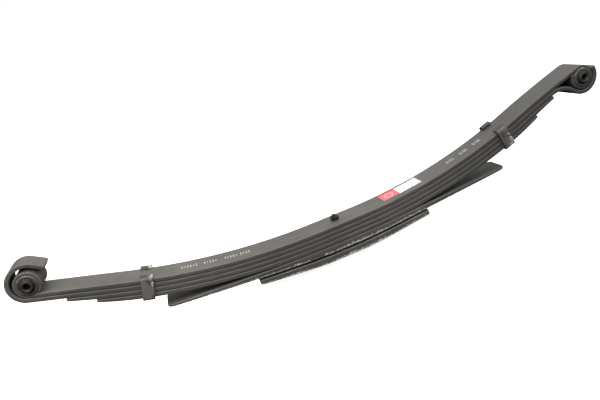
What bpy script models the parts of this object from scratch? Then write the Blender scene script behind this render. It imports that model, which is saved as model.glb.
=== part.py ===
"""Multi-leaf vehicle spring: four main leaves, two helper leaves, rolled eyes with bonded bushes, clips and centre bolt.

World frame in metres: X along the spring, Y across the leaves, Z up, origin under the centre bolt on the lowest leaf.
"""

import math

import bmesh
import bpy
from mathutils import Matrix, Vector

MM = 0.001

# Driving sizes, in millimetres and degrees.
leaf_width = 70.0
leaf_thickness = 10.2
seat_half_length = 45.0
arm_length = 657.0
main_arc_end = 480.0
left_arc_radius = 1470.0
right_arc_radius = 1220.0
right_end_reverse_radius = 2730.0
eye_outer_radius = 27.5
eye_leaf_thickness = 9.2
eye_taper_length = 150.0
third_leaf_left_length = 588.0
third_leaf_right_length = 575.0
fourth_leaf_left_length = 531.0
fourth_leaf_right_length = 519.0
short_leaf_tip_thickness = 6.5
short_leaf_taper_length = 95.0
upper_helper_half_length = 395.0
upper_helper_thickness = 16.0
upper_helper_tip_thickness = 6.0
upper_helper_contact_half_length = 110.0
upper_helper_left_tip_gap = 24.0
upper_helper_right_tip_gap = 34.0
lower_helper_half_length = 200.0
lower_helper_thickness = 16.0
lower_helper_tip_thickness = 11.0
helper_tip_corner = 14.0
spacer_thickness = 4.4
spacer_half_length = 42.0
edge_rounding = 2.4
left_wrap_sweep = 194.0
left_wrap_tail = 29.0
left_wrap_end_width = 50.0
right_wrap_leave_distance = 80.0
right_wrap_end_angle = 6.0
left_wrap_straight = 2.5
left_wrap_slack = 2.8
right_wrap_slack = 2.6
right_wrap_shift_out = 0.4
right_wrap_shift_up = 0.2
right_wrap_bend_ease = 0.4
curl_sweep = 330.0
curl_tip_clearance = 0.9
bolt_radius = 5.0
bolt_end_above_nut = 5.0
bolt_head_radius = 8.5
bolt_head_height = 9.0
nut_across_flats = 17.0
nut_height = 8.0
nut_seat_depth = 0.2
sleeve_wall = 1.8
sleeve_lip_reach = 3.15
sleeve_lip_thickness = 2.2
inner_sleeve_radius = 12.0
inner_sleeve_bore_radius = 7.0
inner_sleeve_overhang = 8.0
rubber_overhang = 4.6
clip_station = 429.0
clip_width = 25.0
clip_thickness = 4.5
clip_tab_reach = 13.0
clip_bend_radius = 2.5
left_clip_headroom = 1.0
right_clip_headroom = 2.4
rivet_radius = 5.0
rivet_head_radius = 8.5
rivet_head_height = 3.5
label_start = 117.0
label_length = 98.0
label_width = 42.0
label_edge_margin = 8.0
label_thickness = 0.4

# Named clearances, in millimetres.
touch_gap = 0.3
bolt_hole_clearance = 0.6
nut_seat_clearance = 2.2
rivet_hole_clearance = 0.4
clip_side_clearance = 0.6

# How finely the round shapes are cut.
arc_steps = 12
end_steps = 4
eye_step_degrees = 12.0
bush_segments = 36
round_segments = 24

half_width = leaf_width / 2.0
eye_bore_radius = eye_outer_radius - eye_leaf_thickness
nut_corner_radius = nut_across_flats / math.sqrt(3.0)
nut_foot = leaf_thickness - nut_seat_depth + touch_gap


def clear_scene():
    for obj in list(bpy.data.objects):
        bpy.data.objects.remove(obj, do_unlink=True)


def paint(name, colour, metallic, roughness):
    material = bpy.data.materials.new(name)
    material.use_nodes = True
    shader = material.node_tree.nodes["Principled BSDF"]
    shader.inputs["Base Color"].default_value = (*colour, 1.0)
    shader.inputs["Metallic"].default_value = metallic
    shader.inputs["Roughness"].default_value = roughness
    material.diffuse_color = (*colour, 1.0)
    return material


# ---- The curve that every leaf follows: the underside of the main leaf, from its centre outwards. ----


def advance(pose, length, curvature):
    """The position and slope after going this far along a curve that bends upwards by this much."""
    x, z, slope = pose
    if abs(curvature) < 1e-9:
        return x + length * math.cos(slope), z + length * math.sin(slope), slope
    turned = slope + length * curvature
    x += (math.sin(turned) - math.sin(slope)) / curvature
    z += (math.cos(slope) - math.cos(turned)) / curvature
    return x, z, turned


def arm_pose(distance, side):
    """Where the curve is at this distance from the centre, as if every arm ran towards +X."""
    radius = left_arc_radius if side < 0 else right_arc_radius
    end_curvature = 0.0 if side < 0 else -1.0 / right_end_reverse_radius
    pose = advance((0.0, 0.0, 0.0), min(distance, seat_half_length), 0.0)
    if distance > seat_half_length:
        pose = advance(pose, min(distance, main_arc_end) - seat_half_length, 1.0 / radius)
    if distance > main_arc_end:
        pose = advance(pose, distance - main_arc_end, end_curvature)
    return pose


def curve_frame(station):
    """The point, outward direction and upward normal at a signed distance from the centre."""
    side = -1 if station < 0 else 1
    x, z, slope = arm_pose(abs(station), side)
    point = Vector((side * x, z))
    outward = Vector((side * math.cos(slope), math.sin(slope)))
    normal = Vector((-side * math.sin(slope), math.cos(slope)))
    return point, outward, normal


def surface_point(station, height):
    """A point this far above the curve, measured square to it."""
    point, _, normal = curve_frame(station)
    return point + normal * height


def arm_stations(half_length):
    """Distances from the centre to cut a leaf at, on one arm."""
    arc = main_arc_end - seat_half_length
    end = arm_length - main_arc_end
    every = [0.0]
    every += [seat_half_length + arc * i / arc_steps for i in range(arc_steps + 1)]
    every += [main_arc_end + end * i / end_steps for i in range(1, end_steps + 1)]
    kept = [d for d in every if d < half_length - 8.0]
    return kept + [half_length]


def rounded_tip_stations(half_length, corner):
    """The same stations, with more of them where a tip's corners are rounded in plan."""
    kept = [d for d in arm_stations(half_length) if d < half_length - corner - 4.0]
    return kept + [half_length - corner * share for share in (1.0, 0.55, 0.2, 0.0)]


def both_arms(left_length, right_length):
    """Signed stations from the left tip to the right tip."""
    left = [-d for d in reversed(arm_stations(left_length)) if d > 0]
    return left + arm_stations(right_length)


# ---- Thickness of each leaf and the height of its faces above the curve. ----


def eased(start, end, value):
    """0 before start, 1 after end, straight between."""
    return min(1.0, max(0.0, (value - start) / (end - start)))


def long_leaf_thickness(station):
    share = eased(arm_length - eye_taper_length, arm_length, abs(station))
    return leaf_thickness + (eye_leaf_thickness - leaf_thickness) * share


def short_leaf_thickness(station, left_length, right_length):
    length = left_length if station < 0 else right_length
    share = eased(length - short_leaf_taper_length, length, abs(station))
    return leaf_thickness + (short_leaf_tip_thickness - leaf_thickness) * share ** 1.5


def wrapper_top(station):
    return -touch_gap


def wrapper_bottom(station):
    return wrapper_top(station) - long_leaf_thickness(station)


def third_top(station):
    return wrapper_bottom(station) - touch_gap


def third_bottom(station):
    thick = short_leaf_thickness(station, third_leaf_left_length, third_leaf_right_length)
    return third_top(station) - thick


def fourth_top(station):
    return third_bottom(station) - touch_gap


def fourth_bottom(station):
    thick = short_leaf_thickness(station, fourth_leaf_left_length, fourth_leaf_right_length)
    return fourth_top(station) - thick


def upper_helper_top(station):
    pack = -4.0 * (leaf_thickness + touch_gap) + leaf_thickness
    tip_gap = upper_helper_left_tip_gap if station < 0 else upper_helper_right_tip_gap
    share = eased(upper_helper_contact_half_length, upper_helper_half_length, abs(station))
    return pack - touch_gap - tip_gap * share ** 2


def upper_helper_bottom(station):
    share = eased(seat_half_length, upper_helper_half_length, abs(station))
    thick = upper_helper_thickness + (upper_helper_tip_thickness - upper_helper_thickness) * share
    return upper_helper_top(station) - thick


def spacer_top(station):
    return upper_helper_bottom(0.0) - touch_gap


def spacer_bottom(station):
    return spacer_top(station) - spacer_thickness


def lower_helper_top(station):
    """The lower helper runs a steady gap below the upper one until the upper one bends away."""
    below = upper_helper_bottom(station) - 2.0 * touch_gap - spacer_thickness
    return below


def lower_helper_bottom(station):
    share = eased(seat_half_length, lower_helper_half_length, abs(station))
    thick = lower_helper_thickness
    thick += (lower_helper_tip_thickness - lower_helper_thickness) * share
    return lower_helper_top(station) - thick


curve_height = -lower_helper_bottom(0.0)


def to_world(point, across):
    """A point of the side view, in millimetres, at a position across the spring, in metres."""
    return Vector((point.x * MM, across * MM, (point.y + curve_height) * MM))


# ---- Shape tools. ----


def new_object(name, mesh_builder, material, location=(0.0, 0.0, 0.0)):
    mesh = bpy.data.meshes.new(name)
    mesh_builder.normal_update()
    mesh_builder.to_mesh(mesh)
    mesh_builder.free()
    mesh.materials.append(material)
    obj = bpy.data.objects.new(name, mesh)
    obj.location = location
    bpy.context.scene.collection.objects.link(obj)
    return obj


def smooth(obj):
    for polygon in obj.data.polygons:
        polygon.use_smooth = True


def rounded_section(top, bottom, half, rounding):
    """The outline of a bar's cross-section as (across, side-view point) pairs, with its four long edges rounded."""
    down = (bottom - top).normalized()
    thick = (bottom - top).length
    short = rounding * (1.0 - math.sqrt(0.5))
    steps = ((rounding, 0.0), (short, short), (0.0, rounding))
    near_top = [(-half + across, top + down * drop) for across, drop in steps[::-1]]
    far_top = [(half - across, top + down * drop) for across, drop in steps]
    far_bottom = [(half - across, top + down * (thick - drop)) for across, drop in steps[::-1]]
    near_bottom = [(-half + across, top + down * (thick - drop)) for across, drop in steps]
    return near_top + far_top + far_bottom + near_bottom


def band(name, upper, lower, widths, material, rounding=0.0):
    """A bar between two matched rows of side-view points, as wide as the matching row of half widths says."""
    builder = bmesh.new()
    rings = []
    for top, bottom, half in zip(upper, lower, widths):
        if rounding > 0.0:
            corner = min(rounding, 0.42 * (bottom - top).length)
            section = rounded_section(top, bottom, half, corner)
        else:
            section = [(-half, top), (half, top), (half, bottom), (-half, bottom)]
        rings.append([builder.verts.new(to_world(point, across)) for across, point in section])
    for first, second in zip(rings, rings[1:]):
        for i in range(len(first)):
            j = (i + 1) % len(first)
            builder.faces.new((first[i], first[j], second[j], second[i]))
    builder.faces.new(rings[0][::-1])
    builder.faces.new(rings[-1])
    bmesh.ops.recalc_face_normals(builder, faces=builder.faces[:])
    return new_object(name, builder, material)


def round_edges(obj, width, segments=1, angle=35.0):
    bevel = obj.modifiers.new("rounded_edges", "BEVEL")
    bevel.width = width * MM
    bevel.segments = segments
    bevel.limit_method = "ANGLE"
    bevel.angle_limit = math.radians(angle)
    bevel.use_clamp_overlap = True
    return bevel


def turned_piece(name, profile, segments, material, closed):
    """A body of revolution about its own Z from (radius, height) points; closed ones are tubes."""
    builder = bmesh.new()
    rings = []
    for radius, height in profile:
        ring = []
        for i in range(segments):
            angle = 2.0 * math.pi * i / segments
            across = radius * math.cos(angle)
            along = radius * math.sin(angle)
            ring.append(builder.verts.new((across * MM, along * MM, height * MM)))
        rings.append(ring)
    pairs = list(zip(rings, rings[1:]))
    if closed:
        pairs.append((rings[-1], rings[0]))
    for first, second in pairs:
        for i in range(segments):
            j = (i + 1) % segments
            builder.faces.new((first[i], first[j], second[j], second[i]))
    if not closed:
        builder.faces.new(rings[0][::-1])
        builder.faces.new(rings[-1])
    bmesh.ops.recalc_face_normals(builder, faces=builder.faces[:])
    obj = new_object(name, builder, material)
    smooth(obj)
    return obj


def stand_at(obj, station, height, along_y=False):
    """Puts a turned piece at a point of the side view, upright on the leaf or lying across the spring."""
    point, outward, normal = curve_frame(station)
    place(obj, point + normal * height, math.atan2(normal.x, normal.y), along_y)


def place(obj, point, lean, along_y):
    turn = Matrix.Rotation(math.radians(90.0), 4, "X") if along_y else Matrix.Rotation(lean, 4, "Y")
    obj.matrix_world = Matrix.Translation(to_world(point, 0.0)) @ turn


def drill(obj, name, radius, length, station, height):
    """Cuts a round hole square to the leaf."""
    profile = [(radius, -length / 2.0), (radius, length / 2.0)]
    cutter = turned_piece(name, profile, round_segments, bare_steel, closed=False)
    stand_at(cutter, station, height)
    cutter.hide_render = True
    cutter.display_type = "WIRE"
    boolean = obj.modifiers.new(name, "BOOLEAN")
    boolean.operation = "DIFFERENCE"
    boolean.solver = "EXACT"
    boolean.object = cutter


def drill_for_bolt(obj, name, middle_height):
    drill(obj, name, bolt_radius + bolt_hole_clearance, 40.0, 0.0, middle_height)


# ---- Leaves. ----


def local_point(origin, outward, normal, along, up):
    return origin + outward * along + normal * up


def circle_row(origin, axes, centre, radius, start, sweep, steps):
    """Points on a circle given in a leaf's own outward and upward directions; a positive sweep turns outward to up.

    The radius may be a function of how many degrees have been turned.
    """
    outward, normal = axes
    row = []
    for i in range(steps + 1):
        angle = math.radians(start + sweep * i / steps)
        reach = radius(abs(sweep) * i / steps) if callable(radius) else radius
        along = centre[0] + reach * math.cos(angle)
        up = centre[1] + reach * math.sin(angle)
        row.append(local_point(origin, outward, normal, along, up))
    return row


def curl_outer_radius(turned):
    """The outside of a rolled eye after this many degrees: its tip is scarfed to lie on its own leaf."""
    if turned <= 270.0:
        return eye_outer_radius
    flat = (eye_bore_radius - curl_tip_clearance) / math.cos(math.radians(360.0 - turned))
    return min(eye_outer_radius, flat)


def left_eye_centre():
    return surface_point(-arm_length, eye_outer_radius)


def right_eye_centre():
    return surface_point(arm_length, eye_leaf_thickness - eye_outer_radius)


def build_main_leaf():
    """The master leaf: its left end rolls upwards into an eye and its right end rolls downwards."""
    steps = round(curl_sweep / eye_step_degrees)
    stations = both_arms(arm_length, arm_length)
    upper = [surface_point(s, long_leaf_thickness(s)) for s in stations]
    lower = [surface_point(s, 0.0) for s in stations]
    point, outward, normal = curve_frame(-arm_length)
    centre = (0.0, eye_outer_radius)
    axes = (outward, normal)
    outer = circle_row(point, axes, centre, curl_outer_radius, -90.0, curl_sweep, steps)
    inner = circle_row(point, axes, centre, eye_bore_radius, -90.0, curl_sweep, steps)
    upper = inner[:0:-1] + upper
    lower = outer[:0:-1] + lower
    point, outward, normal = curve_frame(arm_length)
    centre = (0.0, eye_leaf_thickness - eye_outer_radius)
    axes = (outward, normal)
    outer = circle_row(point, axes, centre, curl_outer_radius, 90.0, -curl_sweep, steps)
    inner = circle_row(point, axes, centre, eye_bore_radius, 90.0, -curl_sweep, steps)
    upper = upper + outer[1:]
    lower = lower + inner[1:]
    leaf = band("main_leaf", upper, lower, [half_width] * len(upper), spring_paint, edge_rounding)
    drill_for_bolt(leaf, "main_leaf_hole", 5.0)
    spot_face_for_nut(leaf)
    return leaf


def spot_face_for_nut(leaf):
    """A shallow round seat for the nut; the flats left and right of it take the clamp plates."""
    cutter_length = 10.0
    middle_height = leaf_thickness - nut_seat_depth + cutter_length / 2.0
    radius = nut_corner_radius + nut_seat_clearance
    drill(leaf, "main_leaf_nut_seat", radius, cutter_length, 0.0, middle_height)


def left_wrap_rows(thick):
    """The wrapper round the left eye: clear of it at the side and top, then a short straight tail."""
    point, outward, normal = curve_frame(-arm_length)
    inner_radius = eye_outer_radius + left_wrap_slack + touch_gap
    centre = (left_wrap_straight, inner_radius - touch_gap)
    steps = round(left_wrap_sweep / eye_step_degrees)
    axes = (outward, normal)
    inner = circle_row(point, axes, centre, inner_radius, -90.0, left_wrap_sweep, steps)
    outer = circle_row(point, axes, centre, inner_radius + thick, -90.0, left_wrap_sweep, steps)
    heading = math.radians(left_wrap_sweep)
    tail = outward * math.cos(heading) + normal * math.sin(heading)
    inner.append(inner[-1] + tail * left_wrap_tail)
    outer.append(outer[-1] + tail * left_wrap_tail)
    return inner, outer


def left_wrap_widths(count):
    """Half widths from the tail inwards: the wrap narrows over its upper half."""
    tail = left_wrap_end_width / 2.0
    reach = count // 2
    row = []
    for i in range(count):
        share = min(1.0, i / reach)
        row.append(tail + (half_width - tail) * share)
    return row


def in_frame(vector, outward, normal):
    return vector.dot(outward), vector.dot(normal)


def right_wrap_shape():
    """The two circles that the wrapper follows past the right eye, in the outward and upward directions there.

    The bend under the leaf starts where the wrapper leaves it, and its radius is the one that just meets the
    circle round the eye.
    """
    point, outward, normal = curve_frame(arm_length)
    start_point, _, start_normal = curve_frame(arm_length - right_wrap_leave_distance)
    start = in_frame(start_point - start_normal * touch_gap - point, outward, normal)
    up = in_frame(start_normal, outward, normal)
    eye_centre = (right_wrap_shift_out, eye_leaf_thickness - eye_outer_radius + right_wrap_shift_up)
    eye_radius = eye_outer_radius + right_wrap_slack
    reach = Vector(start) - Vector(eye_centre)
    meet = eye_radius + right_wrap_bend_ease
    bend_radius = (reach.length_squared - meet ** 2) / (2.0 * (meet + reach.dot(Vector(up))))
    bend_centre = Vector(start) - Vector(up) * bend_radius
    between = Vector(eye_centre) - bend_centre
    climb = math.degrees(math.atan2(between.y, between.x))
    dip = math.degrees(math.acos((bend_radius + eye_radius) / between.length))
    start_angle = math.degrees(math.atan2(up[1], up[0]))
    return (bend_centre, bend_radius, start_angle), (eye_centre, eye_radius), climb + dip


def right_wrap_rows(thick):
    """The wrapper at the right end: it bends away under the downward eye and comes up round its far side."""
    point, outward, normal = curve_frame(arm_length)
    bend, eye, leave = right_wrap_shape()
    axes = (outward, normal)
    centre, radius, start = bend
    steps = 6
    inner = circle_row(point, axes, centre, radius, start, leave - start, steps)
    outer = circle_row(point, axes, centre, radius - thick, start, leave - start, steps)
    centre, radius = eye
    start = leave - 180.0
    round_eye = right_wrap_end_angle - start
    steps = round(round_eye / eye_step_degrees)
    inner += circle_row(point, axes, centre, radius, start, round_eye, steps)
    outer += circle_row(point, axes, centre, radius + thick, start, round_eye, steps)
    return inner, outer


def build_wrapper_leaf():
    """The second leaf, which wraps round both eyes of the first one."""
    thick = eye_leaf_thickness
    left_inner, left_outer = left_wrap_rows(thick)
    right_inner, right_outer = right_wrap_rows(thick)
    left = [-d for d in reversed(arm_stations(arm_length)) if d > 0]
    right = [d for d in arm_stations(arm_length) if d < arm_length - right_wrap_leave_distance - 6.0]
    stations = left + right
    upper = left_inner[:0:-1] + [surface_point(s, wrapper_top(s)) for s in stations] + right_inner
    lower = left_outer[:0:-1] + [surface_point(s, wrapper_bottom(s)) for s in stations] + right_outer
    narrow = left_wrap_widths(len(left_inner) - 1)
    widths = narrow + [half_width] * (len(upper) - len(narrow))
    leaf = band("wrapper_leaf", upper, lower, widths, spring_paint, edge_rounding)
    drill_for_bolt(leaf, "wrapper_leaf_hole", wrapper_top(0.0) - 5.0)
    return leaf


def plain_leaf(name, left_length, right_length, top_of, bottom_of):
    """A leaf with no eyes and square tips."""
    stations = both_arms(left_length, right_length)
    upper = [surface_point(s, top_of(s)) for s in stations]
    lower = [surface_point(s, bottom_of(s)) for s in stations]
    leaf = band(name, upper, lower, [half_width] * len(stations), spring_paint, edge_rounding)
    drill_for_bolt(leaf, name + "_hole", (top_of(0.0) + bottom_of(0.0)) / 2.0)
    return leaf


def helper_leaf(name, half_length, corner, top_of, bottom_of):
    """A helper leaf, whose tips are rounded in plan."""
    arm = rounded_tip_stations(half_length, corner)
    stations = [-d for d in reversed(arm) if d > 0] + arm
    upper = [surface_point(s, top_of(s)) for s in stations]
    lower = [surface_point(s, bottom_of(s)) for s in stations]
    widths = []
    for s in stations:
        inside = max(0.0, abs(s) - (half_length - corner))
        cut = corner - math.sqrt(max(0.0, corner ** 2 - inside ** 2))
        widths.append(half_width - cut)
    leaf = band(name, upper, lower, widths, spring_paint, edge_rounding)
    drill_for_bolt(leaf, name + "_hole", (top_of(0.0) + bottom_of(0.0)) / 2.0)
    return leaf


def build_short_leaves():
    lengths = (third_leaf_left_length, third_leaf_right_length)
    plain_leaf("third_leaf", *lengths, third_top, third_bottom)
    lengths = (fourth_leaf_left_length, fourth_leaf_right_length)
    fourth = plain_leaf("fourth_leaf", *lengths, fourth_top, fourth_bottom)
    for side, name in ((-1, "fourth_leaf_left_rivet_hole"), (1, "fourth_leaf_right_rivet_hole")):
        station = side * clip_station
        drill(fourth, name, rivet_radius + rivet_hole_clearance, 30.0, station, fourth_top(station) - 5.0)


def build_helpers():
    corner = helper_tip_corner
    half = upper_helper_half_length
    helper_leaf("upper_helper_leaf", half, corner, upper_helper_top, upper_helper_bottom)
    half = lower_helper_half_length
    helper_leaf("lower_helper_leaf", half, corner / 2.0, lower_helper_top, lower_helper_bottom)


def build_spacer():
    """The flat plate that keeps the two helper leaves apart at the axle seat."""
    stations = [-spacer_half_length, spacer_half_length]
    upper = [Vector((s, spacer_top(s))) for s in stations]
    lower = [Vector((s, spacer_bottom(s))) for s in stations]
    plate = band("helper_spacer", upper, lower, [half_width - 1.0] * 2, bare_steel)
    drill_for_bolt(plate, "helper_spacer_hole", spacer_top(0.0) - 2.0)
    return plate


# ---- Centre bolt. ----


def build_centre_bolt():
    """A dowel head under the lowest leaf, a plain shank through the pack and the end above the nut."""
    bottom = lower_helper_bottom(0.0) - touch_gap
    top = nut_foot + nut_height + bolt_end_above_nut
    profile = [
        (bolt_head_radius - 1.0, bottom - bolt_head_height),
        (bolt_head_radius, bottom - bolt_head_height + 1.0),
        (bolt_head_radius, bottom),
        (bolt_radius, bottom),
        (bolt_radius, top - 1.0),
        (bolt_radius - 1.0, top),
    ]
    bolt = turned_piece("centre_bolt", profile, round_segments, bare_steel, closed=False)
    stand_at(bolt, 0.0, 0.0)
    return bolt


def build_centre_nut():
    builder = bmesh.new()
    bmesh.ops.create_cone(
        builder,
        cap_ends=True,
        segments=6,
        radius1=nut_corner_radius * MM,
        radius2=nut_corner_radius * MM,
        depth=nut_height * MM,
    )
    nut = new_object("centre_nut", builder, bare_steel)
    stand_at(nut, 0.0, nut_foot + nut_height / 2.0)
    round_edges(nut, 0.7)
    drill(nut, "centre_nut_hole", bolt_radius + touch_gap, 30.0, 0.0, nut_foot + nut_height / 2.0)
    return nut


# ---- Bushes: steel outer sleeve, rubber, steel inner sleeve, all on the eye's axis. ----


def build_bush(side_name, centre):
    face = half_width
    lip_face = face + touch_gap + sleeve_lip_thickness
    outer = eye_bore_radius * math.cos(math.radians(eye_step_degrees / 2.0)) - touch_gap / 2.0
    inner = outer - sleeve_wall
    lip = outer + sleeve_lip_reach
    sleeve = [
        (inner, -face),
        (outer - 0.5, -face),
        (outer, -face + 0.5),
        (outer, face + touch_gap),
        (lip, face + touch_gap),
        (lip, lip_face - 0.9),
        (lip - 0.9, lip_face),
        (inner, lip_face),
    ]
    rubber_outer = inner - touch_gap
    rubber_inner = inner_sleeve_radius + touch_gap
    ends = face + rubber_overhang
    rubber = [
        (rubber_inner, -ends),
        (rubber_outer - 1.2, -ends),
        (rubber_outer, -ends + 1.2),
        (rubber_outer, ends - 1.2),
        (rubber_outer - 1.2, ends),
        (rubber_inner, ends),
    ]
    length = face + inner_sleeve_overhang
    steel = [
        (inner_sleeve_bore_radius, -length),
        (inner_sleeve_radius - 0.8, -length),
        (inner_sleeve_radius, -length + 0.8),
        (inner_sleeve_radius, length - 0.8),
        (inner_sleeve_radius - 0.8, length),
        (inner_sleeve_bore_radius, length),
    ]
    pieces = (
        ("_bush_outer_sleeve", sleeve, sleeve_steel),
        ("_bush_rubber", rubber, bush_rubber),
        ("_bush_inner_sleeve", steel, sleeve_steel),
    )
    for name, profile, material in pieces:
        piece = turned_piece(side_name + name, profile, bush_segments, material, closed=True)
        place(piece, centre, 0.0, along_y=True)


# ---- Rebound clips and their rivets. ----


def corner_row(centre, radius, start, steps=3):
    """A quarter turn as (across, up) points, clockwise from the start angle."""
    row = []
    for i in range(steps + 1):
        angle = math.radians(start - 90.0 * i / steps)
        row.append((centre[0] + radius * math.cos(angle), centre[1] + radius * math.sin(angle)))
    return row


def strap_row(half_inside, bottom, top, offset):
    """One face of the strap, from the tab on one side, down, under the leaves and up to the other tab."""
    radius = clip_bend_radius + offset
    side = half_inside - clip_bend_radius
    high = top - clip_bend_radius
    low = bottom + clip_bend_radius
    reach = half_inside - clip_tab_reach
    row = [(reach, top + offset)]
    row += corner_row((side, high), radius, 90.0)
    row += corner_row((side, low), radius, 0.0)
    row += corner_row((-side, low), radius, -90.0)
    row += corner_row((-side, high), radius, -180.0)
    row.append((-reach, top + offset))
    return row


def build_clip(name, side, headroom):
    station = side * clip_station
    half_inside = half_width + clip_side_clearance
    bottom = fourth_bottom(station) - touch_gap
    top = long_leaf_thickness(station) + headroom
    inside = strap_row(half_inside, bottom, top, 0.0)
    outside = strap_row(half_inside, bottom, top, clip_thickness)
    builder = bmesh.new()
    rings = []
    half = clip_width / 2.0
    for near, far in zip(inside, outside):
        ring = []
        for across, up, along in ((*near, -half), (*far, -half), (*far, half), (*near, half)):
            ring.append(builder.verts.new((along * MM, across * MM, up * MM)))
        rings.append(ring)
    for first, second in zip(rings, rings[1:]):
        for i in range(4):
            j = (i + 1) % 4
            builder.faces.new((first[i], first[j], second[j], second[i]))
    builder.faces.new(rings[0][::-1])
    builder.faces.new(rings[-1])
    bmesh.ops.recalc_face_normals(builder, faces=builder.faces[:])
    clip = new_object(name, builder, clip_steel)
    stand_at(clip, station, 0.0)
    round_edges(clip, 0.9)
    drill(clip, name + "_hole", rivet_radius + rivet_hole_clearance, 12.0, station, bottom - 2.0)
    return clip


def build_rivet(name, side):
    """A rivet flush with the top of the fourth leaf, headed under the clip."""
    station = side * clip_station
    under = fourth_bottom(station) - touch_gap - clip_thickness - touch_gap
    profile = [
        (rivet_head_radius * 0.5, under - rivet_head_height),
        (rivet_head_radius * 0.85, under - rivet_head_height * 0.7),
        (rivet_head_radius, under - rivet_head_height * 0.2),
        (rivet_head_radius, under),
        (rivet_radius, under),
        (rivet_radius, fourth_top(station) - touch_gap),
    ]
    rivet = turned_piece(name, profile, round_segments, clip_steel, closed=False)
    stand_at(rivet, station, 0.0)
    return rivet


# ---- Paper label. ----


def build_label():
    """A paper label lying on the main leaf, towards its far edge."""
    steps = 4
    stations = [label_start + label_length * i / steps for i in range(steps + 1)]
    base = [long_leaf_thickness(s) + touch_gap for s in stations]
    upper = [surface_point(s, h + label_thickness) for s, h in zip(stations, base)]
    lower = [surface_point(s, h) for s, h in zip(stations, base)]
    label = band("paper_label", upper, lower, [label_width / 2.0] * len(stations), label_paper)
    label.location.y = (half_width - edge_rounding - label_edge_margin - label_width / 2.0) * MM
    return label


def build_all():
    build_main_leaf()
    build_wrapper_leaf()
    build_short_leaves()
    build_helpers()
    build_spacer()
    build_centre_bolt()
    build_centre_nut()
    build_bush("left", left_eye_centre())
    build_bush("right", right_eye_centre())
    build_clip("left_clip", -1, left_clip_headroom)
    build_clip("right_clip", 1, right_clip_headroom)
    build_rivet("left_clip_rivet", -1)
    build_rivet("right_clip_rivet", 1)
    build_label()


clear_scene()
spring_paint = paint("spring_paint", (0.11, 0.105, 0.10), 0.35, 0.45)
bare_steel = paint("bare_steel", (0.14, 0.13, 0.12), 0.7, 0.45)
sleeve_steel = paint("sleeve_steel", (0.20, 0.19, 0.18), 0.8, 0.4)
bush_rubber = paint("bush_rubber", (0.02, 0.02, 0.02), 0.0, 0.7)
clip_steel = paint("clip_steel", (0.12, 0.115, 0.11), 0.5, 0.5)
label_paper = paint("label_paper", (0.75, 0.70, 0.69), 0.0, 0.6)
build_all()
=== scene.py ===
"""Looks for a multi-leaf vehicle spring with helper leaves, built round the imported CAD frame."""

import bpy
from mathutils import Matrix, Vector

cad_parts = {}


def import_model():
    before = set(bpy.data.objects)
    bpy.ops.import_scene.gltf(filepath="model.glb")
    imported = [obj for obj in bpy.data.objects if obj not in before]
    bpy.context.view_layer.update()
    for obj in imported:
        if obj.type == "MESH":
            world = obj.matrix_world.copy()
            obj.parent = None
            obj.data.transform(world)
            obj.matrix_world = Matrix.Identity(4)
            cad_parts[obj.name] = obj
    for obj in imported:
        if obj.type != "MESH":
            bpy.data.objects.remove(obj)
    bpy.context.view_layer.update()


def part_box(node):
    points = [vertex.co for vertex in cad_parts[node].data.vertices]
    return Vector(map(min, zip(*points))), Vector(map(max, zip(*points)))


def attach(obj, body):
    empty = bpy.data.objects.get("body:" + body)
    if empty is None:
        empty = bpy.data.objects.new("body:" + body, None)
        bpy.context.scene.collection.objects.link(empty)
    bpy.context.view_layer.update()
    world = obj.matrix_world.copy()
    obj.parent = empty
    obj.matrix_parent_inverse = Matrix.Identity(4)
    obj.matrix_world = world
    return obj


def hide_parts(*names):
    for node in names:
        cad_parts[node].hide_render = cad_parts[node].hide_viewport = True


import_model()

import math

import bmesh
import bpy
from bpy.props import FloatProperty, FloatVectorProperty, IntProperty, PointerProperty
from bpy.types import Operator, Panel, PropertyGroup
from mathutils import Matrix, Vector

bl_info = {
    "name": "Leaf Spring",
    "version": (1, 0, 0),
    "blender": (4, 5, 0),
    "location": "View3D > Sidebar > Spring",
    "description": "Builds the leaves, bushes, clips, bolt, label and stage of a multi-leaf vehicle spring",
    "category": "Object",
}

MM = 0.001
PACK = "pack"
ACROSS = Vector((0.0, 1.0, 0.0))


def linear(code):
    """An sRGB hex colour as linear RGBA."""
    channels = [int(code[i:i + 2], 16) / 255.0 for i in (1, 3, 5)]
    return tuple(c / 12.92 if c <= 0.04045 else ((c + 0.055) / 1.055) ** 2.4 for c in channels) + (1.0,)


def length(name, description, millimetres):
    """A property for a length, with its default in millimetres."""
    return FloatProperty(
        name=name, description=description, default=millimetres * MM, unit="LENGTH", precision=5, min=0.0
    )


def colour(name, description, code):
    """A property for a colour, with its default as sRGB hex."""
    return FloatVectorProperty(
        name=name, description=description, default=linear(code), size=4, subtype="COLOR", min=0.0, max=1.0
    )


def box_width(node, axis):
    low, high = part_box(node)
    return high[axis] - low[axis]


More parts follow.
